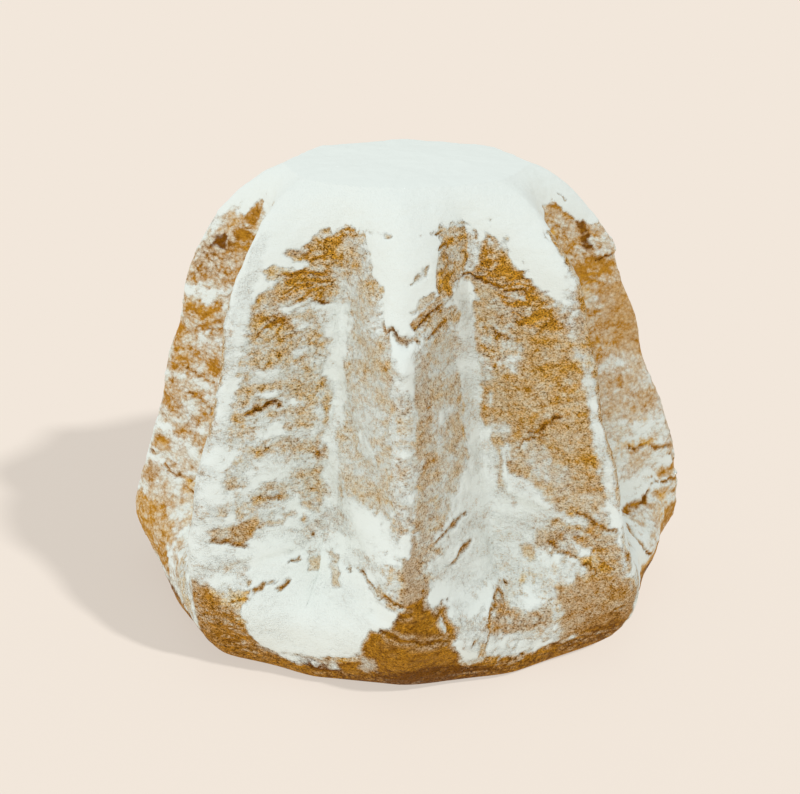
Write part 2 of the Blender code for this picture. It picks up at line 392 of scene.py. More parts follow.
# %% Outlines
def near(points, margin):
    """Which grid points lie within a margin (mm) of the box round some painted points."""
    low = np.min(points, axis=0) - margin
    high = np.max(points, axis=0) + margin
    inside = (ACROSS > low[0]) & (ACROSS < high[0]) & (LEVEL > low[1]) & (LEVEL < high[1])
    return np.nonzero(inside)


def laid_out(places):
    """Painted points, given as bearing and height, in mm along and up the crust."""
    return np.array(places, dtype=float) * (SPREAD, 1.0)


def to_segment(x, y, start, end):
    """Distance from points to one straight stretch, and how far along it they are."""
    run = end - start
    along = ((x - start[0]) * run[0] + (y - start[1]) * run[1]) / max(run @ run, 1e-9)
    along = np.clip(along, 0.0, 1.0)
    return np.hypot(x - start[0] - along * run[0], y - start[1] - along * run[1]), along


def inside_outline(x, y, outline):
    """Distance inside an outline, negative outside it."""
    nearest = np.full(x.shape, np.inf)
    inside = np.zeros(x.shape, dtype=bool)
    for start, end in zip(outline, np.roll(outline, -1, axis=0)):
        nearest = np.minimum(nearest, to_segment(x, y, start, end)[0])
        rises = (start[1] > y) != (end[1] > y)
        level = end[1] - start[1]
        crossing = start[0] + (y - start[1]) / (level if level else 1e-9) * (end[0] - start[0])
        inside ^= rises & (x < crossing)
    return np.where(inside, nearest, -nearest)


SQUARE = laid_out([(0, 0), (1, 0), (1, SPREAD), (0, SPREAD)])
halfway = np.array([SPREAD / 2])
print("the middle of a small square lies", inside_outline(halfway, halfway, SQUARE)[0], "mm inside it")

# %% Patches
def patch(places, cover, bake=None, soft=1.5, fray=1.6, lift=0.0, scaly=None):
    """Paint one patch: its sugar cover, how dark it is baked, how proud and how scaly it is."""
    outline = laid_out(places)
    spot = near(outline, soft + 2 * fray + 1)
    depth = inside_outline(ACROSS[spot], LEVEL[spot], outline)
    depth += fray * (RAGGED[spot] + STREAKY[spot] + FRAY_FINE[spot])
    mask = eased(-1.5 * soft, 1.5 * soft, depth)
    sugar[spot] += (cover - sugar[spot]) * mask
    relief[spot] += lift * mask
    if bake is not None:
        toast_and_shade[spot] += (bake - toast_and_shade[spot]) * mask
    if scaly is not None:
        rugged[spot] += (scaly - rugged[spot]) * mask


def block(left, right, low, high, *paint, **more):
    """Paint a patch whose outline is a plain block: its bearings, its heights, its paint."""
    patch([(left, high), (right, high), (right, low), (left, low)], *paint, **more)


def tell(part, left, right):
    """Print how much of the crust between two bearings lies under sugar."""
    between = (SIGNED >= left) & (SIGNED <= right)
    print(f"{part}: {(sugar[between] > 0.5).mean():.0%} under sugar")


tell("the whole side, before painting", -180, 180)

# %% [markdown]
# ### The two front flanks
# The left flank carries a tall bare peak with fingers that reach into the sugar, and below
# it tan and brown bands. The right flank has a larger bare field with diagonal wrinkles.
# Between them the front ridge keeps a white tongue of sugar that ends in a point.

# %% Front left flank
# the whole flank, lightly dusted
patch([(-41, 128), (-30, 150), (-8, 152), (-5, 100), (-8, 60), (-42, 58), (-43, 100)], 0.58, 0.38, 3, 4,
      scaly=0.8)
# the white field at its top left, with fingers
patch([(-46, 152), (-29, 151), (-33, 146), (-39, 144.5), (-34, 141.5), (-34, 140.5), (-41.5, 138),
       (-38.4, 134.8), (-38.2, 131.8), (-40, 130), (-41.5, 126), (-46, 126)], 1.00, None, 0.8, 0.8,
      scaly=0.0)
# the bare peak and its edges
patch([(-16, 150), (-18, 152), (-20, 152), (-28, 148.5), (-31, 146.5), (-36.5, 144.3), (-33, 142),
       (-32.5, 139.5), (-37, 137), (-36, 133), (-33.5, 128), (-27, 127.5), (-25, 131),
       (-22, 139)], 0.15, 0.55, 0.8, 1.0, scaly=1.0)
patch([(-14, 149), (-18, 152), (-22, 150), (-24, 141), (-26, 131), (-18, 131), (-15, 140)], 0.46, 0.45,
      1.8, 1.6, scaly=0.9)
patch([(-36, 144.4), (-32.5, 146), (-31.5, 144.6), (-34, 143.4)], 0.18, 0.75, 0.6, 0.6)
patch([(-41, 141.2), (-33.4, 141.8), (-32, 140.4), (-34, 139), (-41, 138.2)], 0.96, None, 0.6, 0.6)
patch([(-22, 142.5), (-18.5, 142.5), (-18.5, 137.5), (-21.5, 137.5)], 0.68, None, 1.0, 1.2)
patch([(-37.8, 131), (-33, 133), (-33, 127), (-39, 126.5)], 0.22, 0.6, 0.9, 1.0)
patch([(-38, 136.9), (-34, 137.8), (-34, 136.4), (-36.5, 135.4)], 0.10, 0.75, 0.6, 0.6)
block(-40.5, -39.3, 129.3, 130.5, 0.60, 0.6, 0.6, 0.6)
# bands of sugar and of crust, from the peak down
patch([(-41, 124), (-34, 124.5), (-33.5, 121), (-40, 119.5)], 0.08, 0.70, 1.0, 1.2)
patch([(-33.5, 123), (-26, 123), (-26, 116), (-33, 116.5)], 0.80, None, 1.2, 1.5)
patch([(-42.5, 127), (-38.5, 126.5), (-30, 127.5), (-30, 124.5), (-42, 124)], 0.66, None, 0.8, 1.0)
patch([(-41, 118), (-27, 119), (-26.5, 105), (-40, 104)], 0.38, 0.38, 1.5, 2, scaly=0.9)
patch([(-40.5, 107), (-36, 106.5), (-34.8, 101.2), (-40, 101)], 0.84, None, 0.9, 1, scaly=0.4)
block(-31, -26, 103, 108, 0.26, None, 1.0, 1.0)
patch([(-40.5, 112.5), (-37.5, 112), (-37.5, 108), (-40.5, 108)], 0.22, None, 0.9, 1.0)
patch([(-33.5, 100.5), (-26, 101), (-26, 93), (-33, 93)], 0.36, 0.38, 1.5, 1.5)
patch([(-32.5, 95.5), (-30, 95.5), (-29.5, 92), (-32, 91.5)], 0.72, None, 0.8, 0.8)
patch([(-40.5, 90), (-34, 89), (-34, 83), (-40, 82.5)], 0.70, None, 1.2, 1.5)
patch([(-33.5, 93), (-29, 93), (-28.5, 83), (-33.5, 83)], 0.36, 0.42, 1.2, 1.5)
patch([(-27.8, 98), (-25.4, 98), (-24.6, 84), (-27.6, 83)], 0.80, None, 0.9, 1.2)
patch([(-35, 82), (-25, 82.5), (-24.5, 76), (-35, 75.5)], 0.42, 0.5, 1.2, 1.5)
patch([(-26.2, 81), (-24.3, 81), (-24.3, 69), (-26, 69)], 0.20, 0.75, 0.8, 0.8)
patch([(-39.5, 78), (-32.5, 78.5), (-30.5, 74), (-33, 68), (-39, 67)], 0.86, None, 1.5, 2, scaly=0.4)
patch([(-37.5, 67.5), (-32, 68), (-32, 63), (-37, 63)], 0.34, 0.5, 0.8, 1.2)
patch([(-29, 70), (-24.5, 70), (-24.3, 55), (-29, 56)], 0.36, 0.5, 1.2, 1.5)
# sugar beside the left ridge and above the foot
block(-45, -38.5, 56, 86, 0.74, None, 2, 2.5)
patch([(-41.6, 69), (-40, 69), (-40, 66.5), (-41.5, 66.8)], 0.32, 0.6, 0.6, 0.6)
patch([(-38.5, 62), (-29.5, 62.5), (-28.5, 57), (-37, 57)], 0.86, None, 1.2, 1.5)
# sugar down the left valley
patch([(-30, 126.5), (-24.5, 128), (-21, 129), (-19, 121), (-18, 100), (-19.5, 84), (-18.5, 60),
       (-19, 44), (-25.5, 44), (-24, 62), (-25, 80), (-23.5, 92), (-25.5, 110), (-27, 120)], 0.84, None,
      1.8, 2.2, scaly=0.2)
# the left side of the front ridge
patch([(-17, 140), (-10.5, 132), (-3.5, 110), (-3, 62), (-17.5, 60)], 0.60, 0.36, 2, 2.2, scaly=0.35)
patch([(-13, 86.5), (-6, 86), (-6.5, 80), (-13, 80)], 0.84, None, 1.2, 1.5)
# the lower edge of the shoulder's sugar
patch([(-46, 157), (-12, 157), (-15, 153), (-21, 153.4), (-28, 150.6), (-33, 149.8), (-46, 149.8)], 1.0,
      None, 0.6, 0.6)
tell("front left flank", -45, -3)

# %% The tongue and the front ridge
# the right side of the front ridge, dusted and then bare towards the top
patch([(6, 124), (17, 124), (17, 62), (6.5, 62)], 0.57, 0.42, 1.8, 2.2, scaly=0.45)
patch([(9, 136), (17, 137), (16, 121), (5, 118), (2, 119)], 0.60, 0.45, 1.2, 1.4, scaly=0.9)
patch([(9.8, 131), (9, 138), (9.8, 144), (11.5, 148.5), (14.5, 149), (15, 142), (14, 131)], 0.26, 0.55,
      0.8, 1.0, scaly=1.0)
patch([(12, 148.5), (14, 153), (16.5, 155), (18.5, 152.5), (21.5, 155), (26, 151.5), (27, 144),
       (22, 136.5), (14.5, 132), (14, 142)], 0.52, 0.5, 1.2, 1.4, scaly=1.0)
patch([(10.8, 146.2), (12.8, 149), (16.5, 150.2), (17, 148.5), (14, 146.8)], 0.12, 0.70, 0.6, 0.6)
# the tongue of sugar
patch([(-14.5, 152), (-11.2, 145.5), (-10, 140), (-6.3, 135), (-5.2, 127), (-3.2, 121), (-1, 114),
       (1.4, 115), (3.2, 119), (2.6, 125), (4.6, 128), (6.6, 130.2), (8.8, 132), (8.9, 138),
       (9.6, 144), (12, 148), (11.5, 153)], 1.00, None, 0.6, 0.8, 0.1, scaly=0.0)
# the ridge line below the tongue's point
patch([(-2.2, 116), (3.0, 116), (2.4, 96), (3.2, 78), (2.4, 62), (-2, 62)], 0.70, None, 0.9, 1.3)
block(3, 6.5, 62, 112, 0.40, 0.60, 1.0, 1.4, scaly=0.5)
# bare slits and small flaps right of the point
patch([(9.4, 131.8), (7.2, 130.6), (4.8, 128.6), (2.2, 125.6), (3.2, 123.6), (6.6, 125.2),
       (10.4, 129.4)], 0.03, 0.75, 0.5, 0.7)
patch([(2.8, 129.6), (5, 132.6), (8, 134.4), (8, 132), (5.2, 129.6)], 0.50, 0.4, 0.8, 0.9)
patch([(7.8, 120.6), (9.4, 123.2), (12, 125.3), (13, 124.3), (10.4, 121.8), (8.6, 120)], 0.30, 0.65,
      0.5, 0.6)
patch([(5, 124), (8.6, 123), (9, 118), (4, 116.5)], 0.76, None, 0.7, 0.9)
# the ridge line towards the feet
patch([(-2.6, 70), (1.6, 70), (1.5, 62), (-2.5, 62)], 0.57, 0.6, 0.7, 0.9)
block(1.8, 4.2, 61, 73, 0.26, 0.6, 0.7, 0.9)
block(-3, 4.5, 80, 84, 0.74, None, 0.8, 1.1)
block(-1.5, 1.8, 72, 78, 0.82, None, 0.8, 1.0)
patch([(-16, 66), (-2.5, 65), (-2, 44), (-17, 44)], 0.86, None, 2, 2.2)
# sugar down the right valley
patch([(17.2, 126), (24.5, 126), (24.3, 82), (28, 80), (28.5, 60), (34, 58), (33, 32), (8, 32),
       (8.5, 60), (17.5, 78), (17, 106)], 0.80, None, 1.2, 1.8, scaly=0.2)
tell("front ridge and right valley", -3, 24)

# %% Front right flank
# the large bare field
patch([(26, 142), (28.5, 143.5), (31, 147), (32.5, 144), (33, 140), (36, 136), (38.5, 132), (42, 112),
       (43.5, 82), (42.5, 56), (40, 50), (31, 56), (26, 66), (25, 100), (23.5, 128), (20, 134),
       (21, 141)], 0.22, 0.5, 1.2, 1.6, scaly=0.45)
# its brown upper corner, with notches of sugar
patch([(27.2, 142), (27.4, 146.5), (29, 148), (30, 146), (32, 145.2), (33.4, 141), (34.2, 138),
       (36.2, 136.4), (39, 131), (40, 119), (31, 119), (31, 131), (22, 134.5), (22, 138)], 0.07, 0.65,
      0.9, 1.1, scaly=0.9)
patch([(29, 149.8), (31.8, 148), (31.6, 147), (29.4, 148.6)], 0.35, 0.6, 0.5, 0.5)
patch([(34.2, 143.5), (36.5, 142.8), (37.6, 138), (36, 137.2), (34.2, 138.6)], 0.97, None, 0.6, 0.6)
patch([(23.2, 152.5), (25.4, 152), (26.6, 143), (26, 138.5), (22.6, 136.4), (20.8, 137), (22.8, 143)],
      0.80, None, 0.6, 0.9)
patch([(27, 73), (44, 70), (43.5, 52), (36, 56), (31, 60), (26, 66)], 0.40, 0.5, 2.0, 2.5)
# the sugared fold that runs into it from the ridge
patch([(14, 131.5), (20, 134.5), (24.5, 133.8), (25, 128), (22, 122), (15, 123)], 0.82, None, 0.9, 1.1,
      0.5, scaly=0.3)
# wrinkles in its middle
patch([(29.5, 129.5), (40, 129.5), (41, 119), (29, 119)], 0.20, 0.6, 1.0, 1.2, scaly=1.0)
patch([(32, 131.4), (36.5, 130.8), (36.5, 128.8), (32, 129)], 0.75, None, 0.6, 0.7)
patch([(34, 122.2), (39, 122), (39, 120), (34, 120)], 0.10, None, 0.6, 0.8)
patch([(25, 119), (32.5, 119.5), (34, 110), (32, 104), (25, 104)], 0.42, 0.5, 1.2, 1.6, scaly=1.0)
patch([(24.3, 116), (27, 115), (27, 101), (24.3, 100)], 0.66, None, 0.8, 1.0)
patch([(32, 112), (34.2, 112), (34, 105), (32, 105)], 0.48, None, 0.7, 0.8)
patch([(23.6, 99), (25.8, 99), (25.8, 84), (23.8, 84)], 0.26, 0.55, 0.6, 0.8)
block(25.5, 29, 81, 85, 0.48, None, 0.9, 1.0)
# dusted and bare places towards the foot
patch([(29, 79.5), (36, 79), (36, 72), (29, 72)], 0.62, None, 1.2, 1.4)
patch([(25.3, 73), (30, 72.5), (30, 67.5), (25.5, 67.5)], 0.40, 0.6, 0.9, 1.0)
patch([(26.4, 78), (29, 77), (31.5, 66), (35.5, 56.8), (40, 53.8), (39, 51), (33, 52.4), (28, 58),
       (26.6, 66)], 0.86, None, 0.9, 1.1)
patch([(27.6, 73), (30.6, 73), (30.8, 68.5), (27.6, 68.5)], 0.36, 0.55, 0.7, 0.9)
patch([(31.5, 75), (35, 75), (35, 67), (31.8, 68)], 0.62, None, 0.9, 1.1)
block(38.5, 43, 65, 73, 0.22, 0.5, 0.9, 1.0)
# bare places just above the foot
block(31, 36, 43, 50.5, 0.34, 0.6, 1.0, 1.2)
patch([(28, 44.5), (30.8, 44.5), (30.5, 39), (28.2, 39)], 0.38, None, 0.8, 0.9)
patch([(39.5, 57), (45, 57), (45.5, 33), (39.5, 34)], 0.34, 0.60, 1.2, 1.5)
block(37.5, 42, 42, 48, 0.26, 0.6, 0.8, 1.0)
block(35, 37.2, 42, 46, 0.40, None, 0.6, 0.7, 0.4)
block(37.5, 39.6, 40.4, 44.2, 0.68, None, 0.6, 0.7, 0.4)
# the foot's right corner
patch([(31.5, 40.5), (37, 41), (38.5, 37), (34, 32), (31.5, 32)], 0.86, None, 0.8, 1.1)
patch([(31.5, 31.5), (34.5, 33), (38.5, 36.5), (45, 35), (46, 12), (31.5, 12)], 0.22, 0.70, 1.0, 1.2,
      scaly=0.15)
patch([(34, 20), (45, 22), (46, 8), (33, 8)], 0.08, 0.85, 1.4, 1.6)
# the right ridge line and the shoulder beside it
patch([(44.3, 150), (49, 152), (50, 118), (50, 60), (44.8, 60), (44.4, 110)], 0.36, 0.5, 0.6, 0.9)
patch([(42.6, 152), (44, 152), (44.1, 30), (43.3, 38), (42.6, 60), (42.7, 105)], 0.80, None, 0.7, 0.8)
patch([(43, 123), (44.6, 123), (44.6, 106), (43, 107)], 0.50, None, 0.8, 0.8)
patch([(35, 153), (43.3, 153), (42.9, 126), (41.3, 127), (38.4, 134), (35, 142)], 1.0, None, 0.9, 1.2)
# the left ridge line
patch([(-44.7, 152), (-41, 150), (-41.3, 130), (-42, 100), (-42, 60), (-43, 44), (-44.7, 46)], 0.84,
      None, 0.9, 1.1)
patch([(-45.2, 128), (-52, 130), (-54, 85), (-45.2, 85)], 0.45, 0.5, 0.8, 1.1)
tell("front right flank", 24, 45)

# %% [markdown]
# ### The feet and the side faces
# Powder that slid down the flutes lies packed on the two front feet, in a fan on the left
# and thinner on the right, and leaves a bare wedge between them under the ridge. The side
# faces have the same flutes with streaks of sugar on them, and a bare underside.

# %% Front feet
# powder over the whole left foot
patch([(-45, 60), (-36, 58), (-18, 57), (-8, 45), (-8, 32), (-44, 32)], 0.82, None, 2.5, 3, scaly=0.5)
# the fan of packed sugar
patch([(-36, 32.5), (-35, 18), (-30, 12.5), (-17.5, 13.5), (-12, 16), (-8.4, 20.5), (-6, 30), (-8, 42),
       (-36, 42)], 0.87, None, 0.7, 1.1, 0.7, scaly=0.1)
# the bare left corner
patch([(-45, 36), (-40.5, 31), (-38, 28), (-36, 25.5), (-35, 20.5), (-33, 13), (-36, 10), (-47, 10)],
      0.10, 0.80, 0.8, 1.0)
# small bare places in the powder
patch([(-43, 53.5), (-42.3, 51.2), (-40.5, 49.5), (-38, 48), (-36.5, 50.5), (-35.5, 54.5), (-37, 57),
       (-38.5, 56)], 0.34, 0.6, 0.6, 0.7)
patch([(-26.5, 43), (-23.2, 42), (-22, 37), (-25.8, 36)], 0.42, 0.3, 0.9, 1.0)
patch([(-18.6, 45.5), (-16.2, 44), (-14.8, 36), (-17, 35)], 0.50, 0.3, 0.8, 0.9)
patch([(-9.5, 45.6), (-7, 43), (-4, 41.6), (-1, 41.6), (-1, 37.6), (-5, 37.6), (-8, 40.2)], 0.50, 0.5,
      0.7, 0.8)
# the bare wedge under the front ridge
patch([(-0.3, 39), (-1.6, 34), (-3.6, 30), (-6.6, 26.8), (-8, 24), (-8.4, 20), (-10.5, 15.5), (-15, 12),
       (-14, 6), (11, 6), (10, 16), (8.3, 22), (6.8, 27), (5.6, 33), (3.2, 38), (2.8, 50), (2, 60),
       (-0.5, 60)], 0.00, 0.88, 0.8, 1.0, scaly=0.0)
patch([(5.6, 35.5), (8, 35.5), (8.6, 24), (6.5, 24)], 0.20, 0.75, 0.6, 0.9)
patch([(-10, 17.5), (-6.5, 17), (-6.5, 10.5), (-10, 11)], 0.50, None, 0.9, 1.1)
patch([(-1.5, 34), (2, 35), (6.5, 24), (5, 20), (-5, 21), (-5, 26)], 0.00, 0.92, 1.5, 1.5)
# the ridge line above it
patch([(-0.8, 60), (4, 60), (4.5, 42), (-0.5, 41)], 0.42, 0.75, 0.8, 1.0)
patch([(-1.2, 63), (1.4, 63), (1.4, 55), (-1, 55)], 0.90, None, 0.6, 0.8)
# the right foot
patch([(8.5, 34), (31.5, 34), (31, 12.5), (16, 12.5), (11, 20), (9, 24)], 0.72, None, 0.8, 1.2, 0.3)
patch([(16.5, 26.5), (19, 28), (20.5, 30), (23, 26.5), (30, 26.5), (30.5, 21), (24.5, 19.5),
       (21.5, 19), (18, 20.5)], 0.24, 0.75, 1.1, 1.3)
patch([(15.5, 34), (19, 34), (19, 30.5), (16.6, 28)], 0.90, None, 0.7, 0.8)
patch([(13.6, 20.3), (15.6, 20), (15.4, 14), (13.8, 14)], 0.24, 0.45, 0.6, 0.6)
# the rim below both feet, bare and dark: the crust's own brown and painted shade under the foot's curve
patch([(9, 12), (16, 11), (16, 5.5), (9, 5)], 0.03, 1.0, 1.2, 1.6)
block(-35, -25, 8, 12, 0.20, 0.9, 1.2, 1.6)
tell("front feet and all above them", -45, 45)

# %% Left face
# the whole face, lightly dusted
patch([(-90, 139), (-85, 140.5), (-79, 148), (-75, 155), (-75, 60), (-90, 60)], 0.42, 0.5, 2, 2.4,
      scaly=1.0)
# bare crust at its top
patch([(-78, 153.5), (-75, 154.5), (-74, 150), (-75, 143.5), (-79, 142.5), (-81, 145), (-80, 149)],
      0.06, 0.6, 0.7, 0.9)
block(-88, -79.5, 131, 140, 0.24, 0.65, 0.9, 1.2)
block(-88, -82.5, 123.5, 131, 0.28, 0.6, 0.9, 1.0)
patch([(-85.4, 139.6), (-82.5, 139.6), (-82.5, 135.4), (-85.6, 135.4)], 0.00, 1.2, 0.6, 0.4)
# streaks of sugar and of crust, from the top down
patch([(-89.5, 119), (-77.5, 119.5), (-77.5, 113), (-89, 113)], 0.69, None, 1.0, 1.2)
patch([(-89, 116), (-80, 115.5), (-80, 105), (-89, 104)], 0.26, 0.4, 1.0, 1.2)
block(-85, -81.5, 113.5, 119, 0.90, None, 0.7, 0.8)
block(-84, -81.5, 98, 103, 0.82, None, 0.8, 0.9)
patch([(-89, 103), (-85, 103), (-80, 96), (-77, 97), (-76, 85), (-88, 86)], 0.27, 0.42, 1.5, 1.6)
patch([(-89, 86), (-76, 83), (-76, 79), (-89, 81)], 0.50, None, 0.8, 1.0)
patch([(-89, 64), (-75, 55), (-75, 46), (-89, 54)], 0.68, None, 1.5, 1.6, 0.4)
block(-84, -81, 61, 64.5, 0.22, 0.4, 0.8, 0.8)
patch([(-79, 68), (-75.5, 68), (-75.5, 59), (-79, 58.5)], 0.42, 0.45, 1.0, 1.0)
patch([(-88, 58), (-84, 57), (-84, 53), (-88, 53.5)], 0.25, 0.4, 0.8, 1.0)
patch([(-84, 49.5), (-76, 48.8), (-76, 45.5), (-84, 46.5)], 0.36, 0.5, 0.7, 0.8)
# the foot
patch([(-90, 47), (-80, 44), (-75, 40), (-74, 33), (-91, 33)], 0.60, 0.45, 1.5, 1.6)
patch([(-70, 27), (-62, 24), (-50, 18), (-50, 9), (-70, 11)], 0.55, 0.5, 1.4, 1.8)
patch([(-91, 33.5), (-78, 33), (-72, 28), (-71, 13), (-91, 14)], 0.12, 0.40, 1.2, 1.4)
patch([(-88, 46), (-85, 45), (-85, 40), (-88, 40)], 0.20, 0.6, 0.9, 1.0)
patch([(-89, 34), (-80, 31), (-80, 16), (-90, 16)], 0.12, 0.35, 1.5, 1.5)
tell("left face", -90, -75)

# %% Right face
# the whole face, nearly bare
patch([(75, 153), (90, 150), (90, 62), (75, 66)], 0.31, 0.55, 3, 3, scaly=0.8)
patch([(71, 153), (77, 152.5), (78.6, 147.5), (81, 143), (71, 142)], 0.35, 0.55, 0.8, 1.2)
# sugar on its shoulder, and a dark tear in it
patch([(77.6, 156), (91, 154), (91, 143), (83.6, 143.5), (80.8, 147), (78.8, 151)], 0.96, None, 0.6,
      0.8)
patch([(82.3, 144.5), (84.8, 144), (84.5, 135), (82.3, 135)], 0.00, 1.0, 0.7, 0.7)
patch([(84, 138), (91, 137), (91, 130.5), (84, 130)], 0.38, None, 0.6, 0.8, 0.9)
# bare and dusted crust below the shoulder
patch([(77, 133), (87, 130), (87, 121), (77, 121)], 0.09, 0.6, 0.9, 1.2)
block(77, 80.5, 112.5, 121, 0.34, 0.3, 0.8, 0.8)
patch([(82, 120), (91, 121), (91, 89), (83, 90)], 0.19, 0.55, 1.2, 1.4, scaly=0.2)
patch([(84, 121), (82.8, 112), (79.6, 105), (77, 103), (76.5, 100.5), (80, 101.5), (83, 106),
       (84.8, 113), (85.5, 121)], 0.26, None, 0.8, 0.9)
# thicker sugar towards the foot
patch([(72, 96), (84, 91), (91, 88), (90, 67), (74, 67)], 0.43, 0.55, 2, 2, scaly=0.6)
patch([(80, 83), (91, 83), (91, 71), (80, 72)], 0.56, None, 1.5, 1.6)
patch([(74, 67), (90, 66), (90, 58), (74, 58)], 0.62, None, 1.5, 2)
patch([(79, 58), (84, 57), (86, 53), (84, 48), (78, 50)], 0.78, 0.5, 1.0, 1.2)
patch([(84, 57.5), (91, 57), (91, 47), (85, 48)], 0.74, None, 0.9, 1.0)
# the foot and its bare underside
patch([(84, 45.5), (91, 45), (91, 38.5), (84, 40.5)], 0.06, 0.55, 0.9, 1.0)
patch([(87, 44), (91.5, 43), (91.5, 33), (87, 34)], 0.15, 0.5, 0.9, 0.9)
patch([(82, 43.5), (84, 41.5), (90, 40), (90, 34), (83, 36)], 0.40, 0.50, 1.0, 1.0, 0.8)
patch([(72, 34), (79, 36.5), (83, 34), (83, 21), (74, 20)], 0.52, None, 1.0, 1.2, 0.8)
patch([(84.5, 30), (91, 29), (91, 12), (75, 13), (79, 22)], 0.03, 0.65, 0.9, 1.0)
tell("right face", 75, 90)

# %% [markdown]
# ### Thin places and the lowest edge
# The white sugar of the right face is thinned so that it reads greyer, which is painted shade
# for a face turned away from the light; the powder there is thinner too. The sugar is also a
# little thin low down beside the left ridge. The side faces get more toast than the front,
# which is painted shade. The foot stood nearest the heat, and powder from above can't reach
# under its curve: its last few millimetres are bare and dark brown all the way round, partly
# its own crust and partly painted shade under the curve, darkest and tallest at the front.

# %% Thin places
THINNER_RIGHT_FOR_SHADE = 0.14     # cover taken off the thick sugar of the right face: painted shade that greys its white
THINNER_LEFT = 0.05      # cover taken off the lower part of the left ridge line
LEFT_FACE_SHADE = 0.22       # painted shade added to the toast field of the left face, and below of the right
RIGHT_FACE_SHADE = 0.08
on_right_face = eased(70.0, 76.0, SIGNED) * (1 - eased(134.0, 142.0, HEIGHT))
# painted shade: the right face's thick white sugar is thinned so that it reads greyer, which also thins the
# powder relief there
sugar -= THINNER_RIGHT_FOR_SHADE * on_right_face * eased(0.60, 0.90, sugar)
by_left_ridge = eased(-46.0, -40.0, SIGNED) * (1 - eased(-40.0, -34.0, SIGNED))
sugar -= THINNER_LEFT * by_left_ridge * (1 - eased(55.0, 65.0, HEIGHT))
# painted shade: both side faces get more toast, the left more than the right
toast_and_shade += LEFT_FACE_SHADE * eased(55.0, 70.0, -SIGNED) + RIGHT_FACE_SHADE * eased(55.0, 70.0, SIGNED)
tell("the whole side, after thinning", -180, 180)

# %% The lowest edge
EDGE_MIDDLE = 3.0        # bearing where the bare edge is tallest and darkest
EDGE_TALLER = 4.5        # mm by which it is taller there
EDGE_TOAST_AND_SHADE = 0.88
EDGE_MORE_TOAST_AND_SHADE = 0.34       # toast and painted shade added there
# the lowest edge is painted dark all round: the crust's own brown and painted shade under the foot's curve,
# most at the front
edge_height = HEIGHT - EDGE_TALLER * bell((SIGNED - EDGE_MIDDLE) / 9.0)
lowest = 1 - eased(6.0, 11.0, edge_height + 3.0 * PATCHY + 1.5 * FRAY_FINE)
sugar *= 1 - 0.97 * lowest
toast_and_shade += (EDGE_TOAST_AND_SHADE + EDGE_MORE_TOAST_AND_SHADE * bell((SIGNED - EDGE_MIDDLE) / 16.0) - toast_and_shade) * lowest
# bare, dark rim corners: the crust's own brown and painted shade under the foot
patch([(30.5, 11), (38, 15), (45, 18), (46, 5), (28, 5)], 0.00, 1.0, 1.0, 1.3)
patch([(-46, 15), (-36, 12), (-32, 9), (-32, 4), (-46, 4)], 0.02, 0.9, 1.0, 1.3)
patch([(17, 15), (28, 15), (27, 9.5), (18, 9.5)], 0.85, None, 0.9, 1.3)
patch([(-30, 13), (-20, 12.5), (-21, 8), (-28, 8.5)], 0.72, None, 0.9, 1.3)
tell("the whole side, painted", -180, 180)

# %% [markdown]
# ### The rounded top of the front ridge
# Under the tongue the front ridge is blunter than the others, because the sugar has filled
# it out. The distance of its points from the loaf's axis is blurred along each row, and the
# ridge is cut back to it. The points move straight towards the axis and not along their
# normals, which cross at a sharp edge.

# %% The rounded top of the front ridge
ROUNDING_PASSES = 60
ROUNDING_STEP = 3        # columns to either side that one pass mixes in
on_tongue = eased(112.0, 124.0, HEIGHT) * (1 - eased(156.0, 163.0, HEIGHT))
on_tongue *= 1 - eased(9.0, 16.0, np.abs(SIGNED))
reach_out = np.hypot(FORM[..., 0], FORM[..., 1])
rounded = reach_out
for _ in range(ROUNDING_PASSES):
    left_side = np.roll(rounded, ROUNDING_STEP, axis=1)
    right_side = np.roll(rounded, -ROUNDING_STEP, axis=1)
    rounded = (left_side + right_side + 2 * rounded) / 4
rounding = on_tongue * (rounded - reach_out)
away_from_axis = FORM * (1.0, 1.0, 0.0) / reach_out[..., None]
print("the ridge's edge is cut back by at most", round(float(-rounding.min()), 2), "mm")

# %% [markdown]
# ### Cracks and lifted flaps
# Baked crust tears where the crumb swells beneath it. Each tear is a groove with its
# upper edge lifted, and the sugar never settles inside. The groove is painted dark: partly
# the bare crust's own brown, partly painted shade inside the tear.

# %% Cutting a crack
WANDER = 1.1             # mm that noise bends a crack's route


def crack(places, width=0.8, depth=0.6, lip=0.4, bake=0.7, bare=0.7):
    """Cut one crack: a bare groove with the crust lifted along its upper side, dark with painted shade as
    well as its own crust.
    """
    route = laid_out(places)
    reach = 4 * width + 1
    spot = near(route, reach)
    x = ACROSS[spot] + WANDER * FRAY_FINE[spot]
    y = LEVEL[spot] + WANDER * RAGGED[spot]
    for part, (start, end) in enumerate(zip(route, route[1:])):
        away, along = to_segment(x, y, start, end)
        above = to_segment(x, y - 1.6 * width, start, end)[0]
        if part == 0:
            nearest, above_nearest, where = away, above, along
        else:
            where = np.where(away < nearest, part + along, where)
            nearest = np.minimum(nearest, away)
            above_nearest = np.minimum(above_nearest, above)
    taper = 0.35 + 0.65 * np.sin(np.pi * where / (len(route) - 1))
    taper *= np.clip(0.85 + 0.9 * STREAKY[spot] + 0.7 * FRAY_FINE[spot], 0.25, 1.3)
    groove = bell(nearest / (width * taper)) * np.clip(1.1 + FRAY_FINE[spot], 0.4, 1.0)
    lifted = bell(above_nearest / (1.5 * width)) * taper
    relief[spot] += lip * lifted - depth * groove
    sugar[spot] *= 1 - bare * groove
    # the groove's toast is raised: the bare crust's own darker brown and painted shade inside the tear
    toast_and_shade[spot] += (bake - toast_and_shade[spot]) * groove


print("a crack is", crack.__defaults__[0], "mm wide unless it says otherwise")

